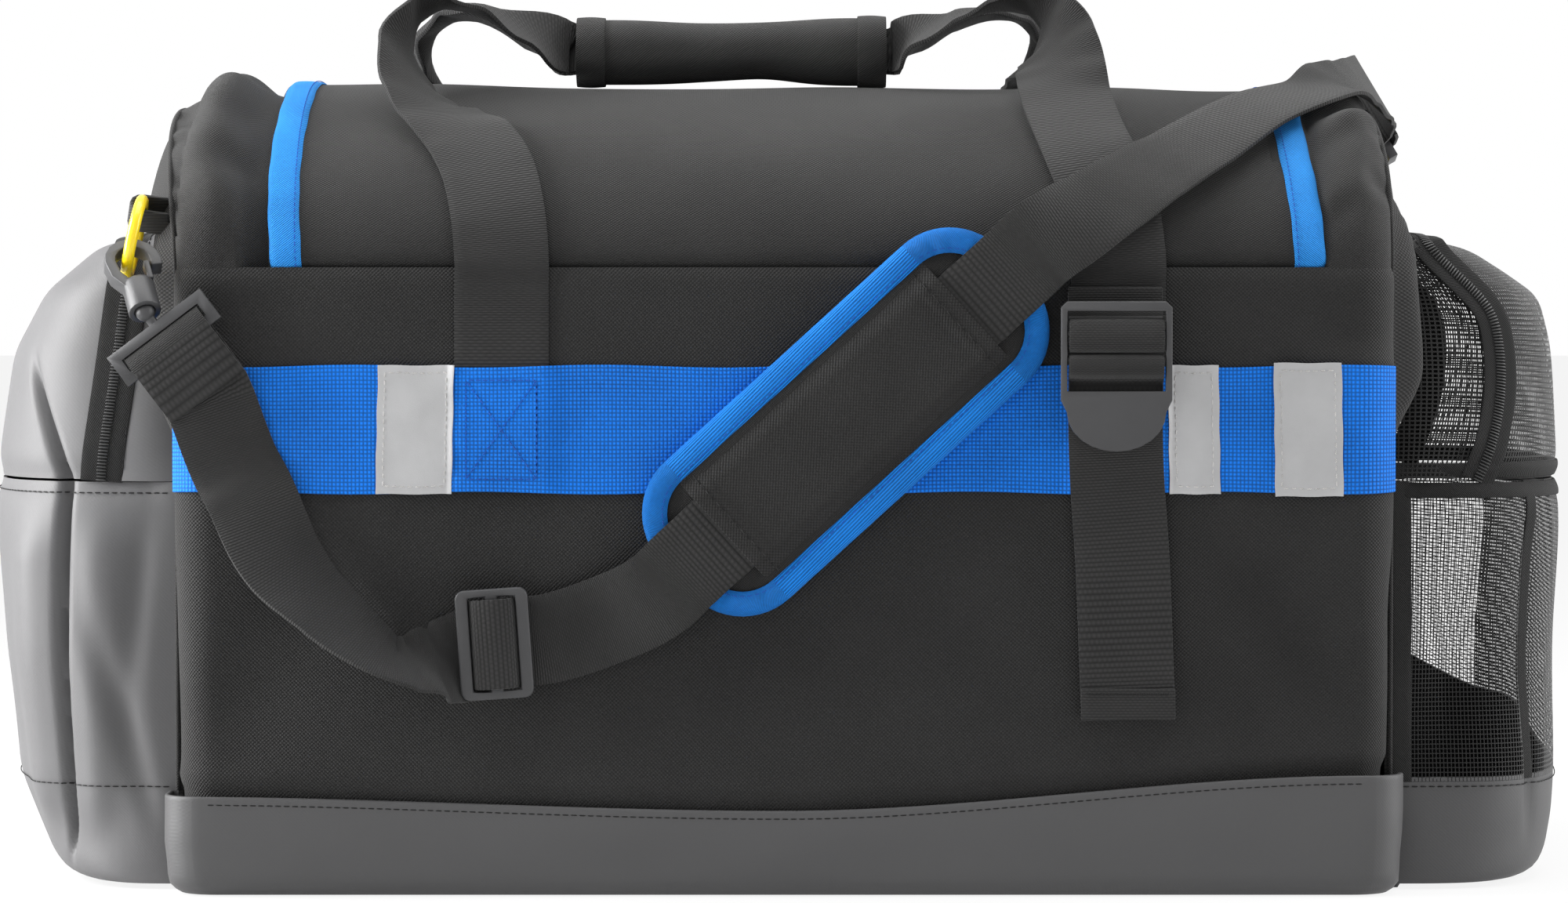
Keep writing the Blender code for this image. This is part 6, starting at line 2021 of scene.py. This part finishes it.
    def build_foam(self) -> Piece:
        """The pad's stuffed core, blown up by a short cloth simulation."""
        length, width, height = self.pad_size
        deselect()
        bpy.ops.mesh.primitive_cube_add(size=1, scale=(length - 0.010, width - 0.010, height - 0.0012))
        made = bpy.context.object
        made.name = "pad_foam"
        bpy.ops.object.transform_apply(location=True, rotation=True, scale=True)
        bpy.ops.object.mode_set(mode="EDIT")
        bpy.ops.mesh.select_mode(type="EDGE")
        bpy.ops.mesh.select_all(action="DESELECT")
        bpy.ops.object.mode_set(mode="OBJECT")
        for edge in made.data.edges:
            ends = [made.data.vertices[k].co for k in edge.vertices]
            edge.select = abs(ends[0].z - ends[1].z) > height / 2
        bpy.ops.object.mode_set(mode="EDIT")
        bpy.ops.mesh.bevel(offset=self.pad_corner - 0.005, segments=8, affect="EDGES")
        bpy.ops.object.mode_set(mode="OBJECT")
        apply(made, "REMESH", mode="VOXEL", voxel_size=0.0035)
        start = coords(made)
        self.inflate(made)
        moved = coords(made)
        shift = np.clip(moved - start, -0.0016, 0.0016)
        set_coords(made, start + shift)
        apply(made, "SUBSURF", levels=1, render_levels=1)
        local = coords(made)
        set_coords(made, self.pad_point(local[:, 0], local[:, 1], self.pad_foot + height / 2 + local[:, 2]))
        face_away(made, self.pad_point(0.0, 0.0, self.pad_foot + height / 2))
        smooth_shade(made, 60)
        return made

    def inflate(self, made: Piece) -> None:
        """Blow a closed piece up a little, as stuffing does."""
        step = made.modifiers.new("stuffing", "CLOTH")
        step.settings.use_pressure = True
        step.settings.uniform_pressure_force = 4.0
        step.settings.effector_weights.gravity = 0.0
        step.settings.quality = 4
        scene = bpy.context.scene
        for number in range(1, 21):
            scene.frame_set(number)
        activate(made)
        bpy.ops.object.modifier_apply(modifier=step.name)
        scene.frame_set(1)

    def build_pad_edge(self) -> None:
        """Blue tape folded round the pad's edge."""
        thick = self.pad_size[2]
        back, front = self.pad_foot - 0.0002, self.pad_foot + thick
        stops = np.array(((0.0110, front + 0.0006), (0.0104, front + 0.0012), (0.0050, front + 0.0014),
                          (0.0016, front + 0.0004), (0.0002, front - 0.0026), (0.0002, back + 0.0022),
                          (0.0018, back + 0.0002), (0.0085, back)))
        section = soften(stops, 24, 0.0035)
        count = len(self.rounded(0.0))
        rings = np.array([self.rounded(float(inset)) for inset in section[:, 0]])
        walk = np.linspace(0, 2 * math.pi, count, endpoint=False)

        def place(u: Array, v: Array) -> Array:
            k = np.rint(u * (len(section) - 1)).astype(int)
            j = np.rint(v * count).astype(int) % count
            spot = rings[k, j]
            wave = 0.0004 * np.sin(walk[j] * 31 + 1.3 * np.sin(walk[j] * 7)) * (section[k, 0] > 0.004)
            return self.pad_point(spot[:, 0], spot[:, 1], section[k, 1] + wave)

        made = sheet("pad_tape", len(section) - 1, count, place)
        activate(made)
        bpy.ops.object.mode_set(mode="EDIT")
        bpy.ops.mesh.select_all(action="SELECT")
        bpy.ops.mesh.remove_doubles(threshold=1e-5)
        bpy.ops.mesh.normals_make_consistent(inside=False)
        bpy.ops.object.mode_set(mode="OBJECT")
        face_away(made, self.pad_point(0.0, 0.0, self.pad_foot))
        apply(made, "SOLIDIFY", thickness=0.0007, offset=-1.0)
        smooth_shade(made, 60)
        dress(made, self.finishes.tape, "blue", "pad_binding")
        self.over_seam(made)
        line = self.rounded(0.0090, 40)
        line = np.vstack((line, line[:1]))
        points = self.pad_point(line[:, 0], line[:, 1], front + 0.0014)
        thread = row_of("pad_tape_stitch", (0.0022, 0.0005, 0.0004), points, np.tile(FORWARD, (len(points), 1)), 0.0032)
        dress(thread, self.finishes.blue_thread, "blue")
        self.over_seam(thread)

    def build_sleeve(self) -> None:
        """The sleeve over the strap, tucked under the tape at its sides and hemmed at its ends."""
        low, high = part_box("pad_sleeve")
        length, width = 0.139, self.pad_size[1] - 0.0190
        front = self.pad_foot + self.pad_size[2]

        def place(u: Array, v: Array) -> Array:
            along, across = (2 * v - 1) * length / 2, (2 * u - 1) * width / 2
            over = ease((self.width / 2 + 0.009 - np.abs(across)) / 0.010)
            points = np.stack((along, across, 0 * along), 1)
            soft = 0.0005 * ripple(points, 0.05, 91) * (1 - np.abs(2 * u - 1))
            hem = 0.0007 * ease((np.abs(along) - length / 2 + 0.010) / 0.001)
            return self.pad_point(along, across, front + 0.0003 + 0.0028 * over + soft + hem * over)

        made = sheet("pad_sleeve_cloth", 50, 90, place)
        face_away(made, self.pad_point(0.0, 0.0, self.pad_foot))
        thicken(made, 0.0009, -1.0, 0.0003)
        smooth_shade(made, 60)
        dress(made, self.finishes.woven, "foam", "pad_sleeve")
        self.over_seam(made)
        for number, share in enumerate((0.045, 0.955)):
            u = np.linspace(0.03, 0.97, 60)
            points = place(u, np.full_like(u, share)) + np.array((0, -0.0003, 0))
            thread = row_of(f"pad_sleeve_stitch_{number}", (0.0022, 0.0005, 0.0004), points, np.tile(FORWARD, (60, 1)),
                            0.0032)
            dress(thread, self.finishes.dark_thread, "foam")
            self.over_seam(thread)

    def build_glide(self) -> None:
        """The adjuster and the webbing over its middle bar."""
        low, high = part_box("tri_glide")
        glide = refined("tri_glide", 0.0009)
        seat(dress(glide, self.finishes.moulded, "moulded", "tri_glide"), "tri_glide")
        turn = math.radians(self.glide_degrees)
        along = np.array((math.cos(turn), 0, math.sin(turn)))
        middle = np.array(((low.x + high.x) / 2, 0, (low.z + high.z) / 2))
        under, over = high.y + 0.0004 + self.thickness / 2, low.y - 0.0004 - self.thickness / 2
        line = ((-0.0135, under + 0.0004), (-0.0100, under), (-0.0086, (under + over) / 2),
                (-0.0062, over), (0.0, over - 0.0014), (0.0062, over), (0.0086, (under + over) / 2), (0.0100, under),
                (0.0135, under + 0.0004))
        stations = []
        for x, y in line:
            place = middle + along * x
            stations.append(((place[0], y, place[2]), FORWARD, self.width))
        made = ribbon("glide_webbing", smooth(stations, 6), self.thickness, 8)
        seat(dress(made, self.finishes.webbing, "webbing", "glide_loop"), "tri_glide")

    def build_ends(self) -> None:
        """Rings, their tabs, hooks, gates and eyes at both ends."""
        for side in Side:
            name = side.name.lower()
            for node, edge, body in ((f"{name}_hook", 0.0010, f"{name}_hook"), (f"{name}_gate", 0.0006, f"{name}_gate"),
                                     (f"{name}_eye", 0.0010, "bag")):
                made = refined(node, edge)
                seat(dress(made, self.finishes.moulded, "moulded", node), body)
            self.build_ring(name)
            tab = refined(f"{name}_ring_tab", 0.0004, 2)
            points = coords(tab)
            lay_uv(tab, points[:, 1:]) if tab.data.uv_layers else lay_uv(tab, points[:, 1:])
            seat(dress(tab, self.finishes.webbing, "webbing", f"{name}_ring_tab"), "bag")

    def build_ring(self, name: str) -> None:
        """A round yellow ring, with the flat seam of its moulding on the inside."""
        node = frame["nodes"][f"{name}_ring"]
        points = np.array([v.co for v in node.data.vertices])
        centre = points.mean(0)
        _, _, axes = np.linalg.svd(points - centre, full_matrices=False)
        normal = axes[2]
        spread = np.linalg.norm(points - centre, axis=1)
        outer = float(spread.max())
        tube = float(np.abs((points - centre) @ normal).max())
        deselect()
        bpy.ops.mesh.primitive_torus_add(major_segments=72, minor_segments=20, major_radius=outer - tube,
                                         minor_radius=tube)
        made = bpy.context.object
        made.name = f"{name}_ring_wire"
        local = coords(made)
        flat = np.hypot(local[:, 0], local[:, 1])
        inside = flat < outer - 1.75 * tube
        scale = np.where(inside, (outer - 1.75 * tube) / np.maximum(flat, 1e-6), 1.0)
        local[:, :2] *= scale[:, None]
        turn = np.array(Vector((0, 0, 1)).rotation_difference(Vector(normal)).to_matrix())
        set_coords(made, local @ turn.T + centre)
        smooth_shade(made, 60)
        seat(dress(made, self.finishes.yellow, "yellow", f"{name}_ring"), "bag")


@dataclass
class ZipHardware:
    """Sliders and pulls of the three zips."""

    finishes: Finishes

    def build(self) -> None:
        """Finish each slider and pull from its solid."""
        for zip_name, prefix in (("lid_zip", "lid"), ("left_pocket", "left"), ("right_pocket", "right")):
            for part in ("slider", "pull"):
                made = refined(f"{zip_name}_{part}", 0.0006)
                seat(dress(made, self.finishes.enamel, "metal", f"{zip_name}_{part}"), f"{prefix}_{part}")


# Studio


@dataclass
class Studio:
    """The pale floor, soft light and the photograph's camera."""

    focal_px: float = 6750.0
    frame_px: tuple[float, float] = (2000.0, 1152.0)
    horizon_px: float = 380.0
    eye: tuple[float, float, float] = (0.0, -2.425, 0.255)

    def build(self) -> None:
        """Set up floor, world, lights and camera."""
        self.build_floor()
        self.build_world()
        self.add_light("top_softbox", (0.0, -0.10, 2.1), (0.0, 0.0, 0.2), (2.4, 1.5), 40.0)
        self.add_light("front_fill", (-0.9, -2.6, 1.5), (0.0, 0.0, 0.18), (1.8, 1.4), 6.0)
        self.add_light("left_strip", (-1.7, -0.20, 0.6), (-0.3, 0.0, 0.15), (0.9, 1.4), 75.0)
        self.add_light("right_strip", (1.7, -0.15, 0.6), (0.3, 0.0, 0.15), (0.9, 1.4), 24.0)
        self.build_camera()
        bpy.context.scene.view_settings.view_transform = "Standard"

    def white_for_eye(self, tree: bpy.types.NodeTree) -> bpy.types.NodeSocket:
        """1 for rays that see the background, 0 for rays that light the object."""
        path = tree.nodes.new("ShaderNodeLightPath")
        total = path.outputs["Is Camera Ray"]
        for name in ("Is Glossy Ray", "Is Transmission Ray"):
            node = tree.nodes.new("ShaderNodeMath")
            node.operation = "MAXIMUM"
            tree.links.new(total, node.inputs[0])
            tree.links.new(path.outputs[name], node.inputs[1])
            total = node.outputs[0]
        return total

    def build_floor(self) -> None:
        """A wide pale floor that keeps the bag's shadow."""
        deselect()
        bpy.ops.mesh.primitive_plane_add(size=30, location=(0, 6, -0.0005))
        floor = bpy.context.object
        floor.name = "floor"
        material = bpy.data.materials.new("pale_floor")
        material.use_nodes = True
        tree = material.node_tree
        shader = tree.nodes["Principled BSDF"]
        shader.inputs["Base Color"].default_value = (0.86, 0.86, 0.86, 1)
        shader.inputs["Roughness"].default_value = 0.9
        glow = tree.nodes.new("ShaderNodeEmission")
        glow.inputs["Strength"].default_value = 1.0
        mix = tree.nodes.new("ShaderNodeMixShader")
        share = tree.nodes.new("ShaderNodeMath")
        share.operation = "MULTIPLY"
        share.inputs[1].default_value = 0.86
        tree.links.new(self.white_for_eye(tree), share.inputs[0])
        tree.links.new(share.outputs[0], mix.inputs[0])
        tree.links.new(shader.outputs[0], mix.inputs[1])
        tree.links.new(glow.outputs[0], mix.inputs[2])
        tree.links.new(mix.outputs[0], tree.nodes["Material Output"].inputs["Surface"])
        floor.data.materials.append(material)

    def build_world(self) -> None:
        """White to the eye, and an even pale glow on the object."""
        world = bpy.data.worlds.new("studio")
        bpy.context.scene.world = world
        world.use_nodes = True
        tree = world.node_tree
        glow = tree.nodes["Background"]
        glow.inputs["Color"].default_value = (1, 1, 1, 1)
        strength = tree.nodes.new("ShaderNodeMath")
        strength.operation = "MULTIPLY_ADD"
        strength.inputs[1].default_value = 0.70
        strength.inputs[2].default_value = 0.30
        tree.links.new(self.white_for_eye(tree), strength.inputs[0])
        tree.links.new(strength.outputs[0], glow.inputs["Strength"])

    def add_light(self, name: str, place: Sequence[float], aim: Sequence[float], size: tuple[float, float],
                  power: float) -> None:
        """A soft rectangular lamp aimed at a point."""
        lamp = bpy.data.lights.new(name, "AREA")
        lamp.shape = "RECTANGLE"
        lamp.size, lamp.size_y = size
        lamp.energy = power
        made = bpy.data.objects.new(name, lamp)
        made.location = place
        made.rotation_euler = (Vector(aim) - Vector(place)).to_track_quat("-Z", "Y").to_euler()
        bpy.context.scene.collection.objects.link(made)

    def build_camera(self) -> None:
        """The photograph's camera: level sides, tilted down until the horizon sits where it does there."""
        camera = bpy.data.cameras.new("camera")
        camera.sensor_width = 36.0
        camera.lens = self.focal_px / self.frame_px[0] * camera.sensor_width
        camera.clip_end = 100.0
        made = bpy.data.objects.new("camera", camera)
        made.location = self.eye
        tilt = math.atan((self.frame_px[1] / 2 - self.horizon_px) / self.focal_px)
        made.rotation_euler = (math.pi / 2 - tilt, 0, 0)
        bpy.context.scene.collection.objects.link(made)
        bpy.context.scene.camera = made


def main() -> None:
    """Build the bag piece by piece, then its studio."""
    logging.basicConfig(level=logging.INFO, format="%(name)s: %(message)s")
    shell = Shell.read()
    finishes = Finishes()
    Body(shell, finishes).build()
    LidZip(shell, finishes).build()
    Bands(shell, finishes).build()
    Handles(shell, finishes).build()
    for side in Side:
        Pocket(shell, finishes, side).build()
    CompressionStrap(shell, finishes).build()
    ShoulderStrap(shell, finishes).build()
    ZipHardware(finishes).build()
    Studio().build()


if __name__ == "__main__":
    main()
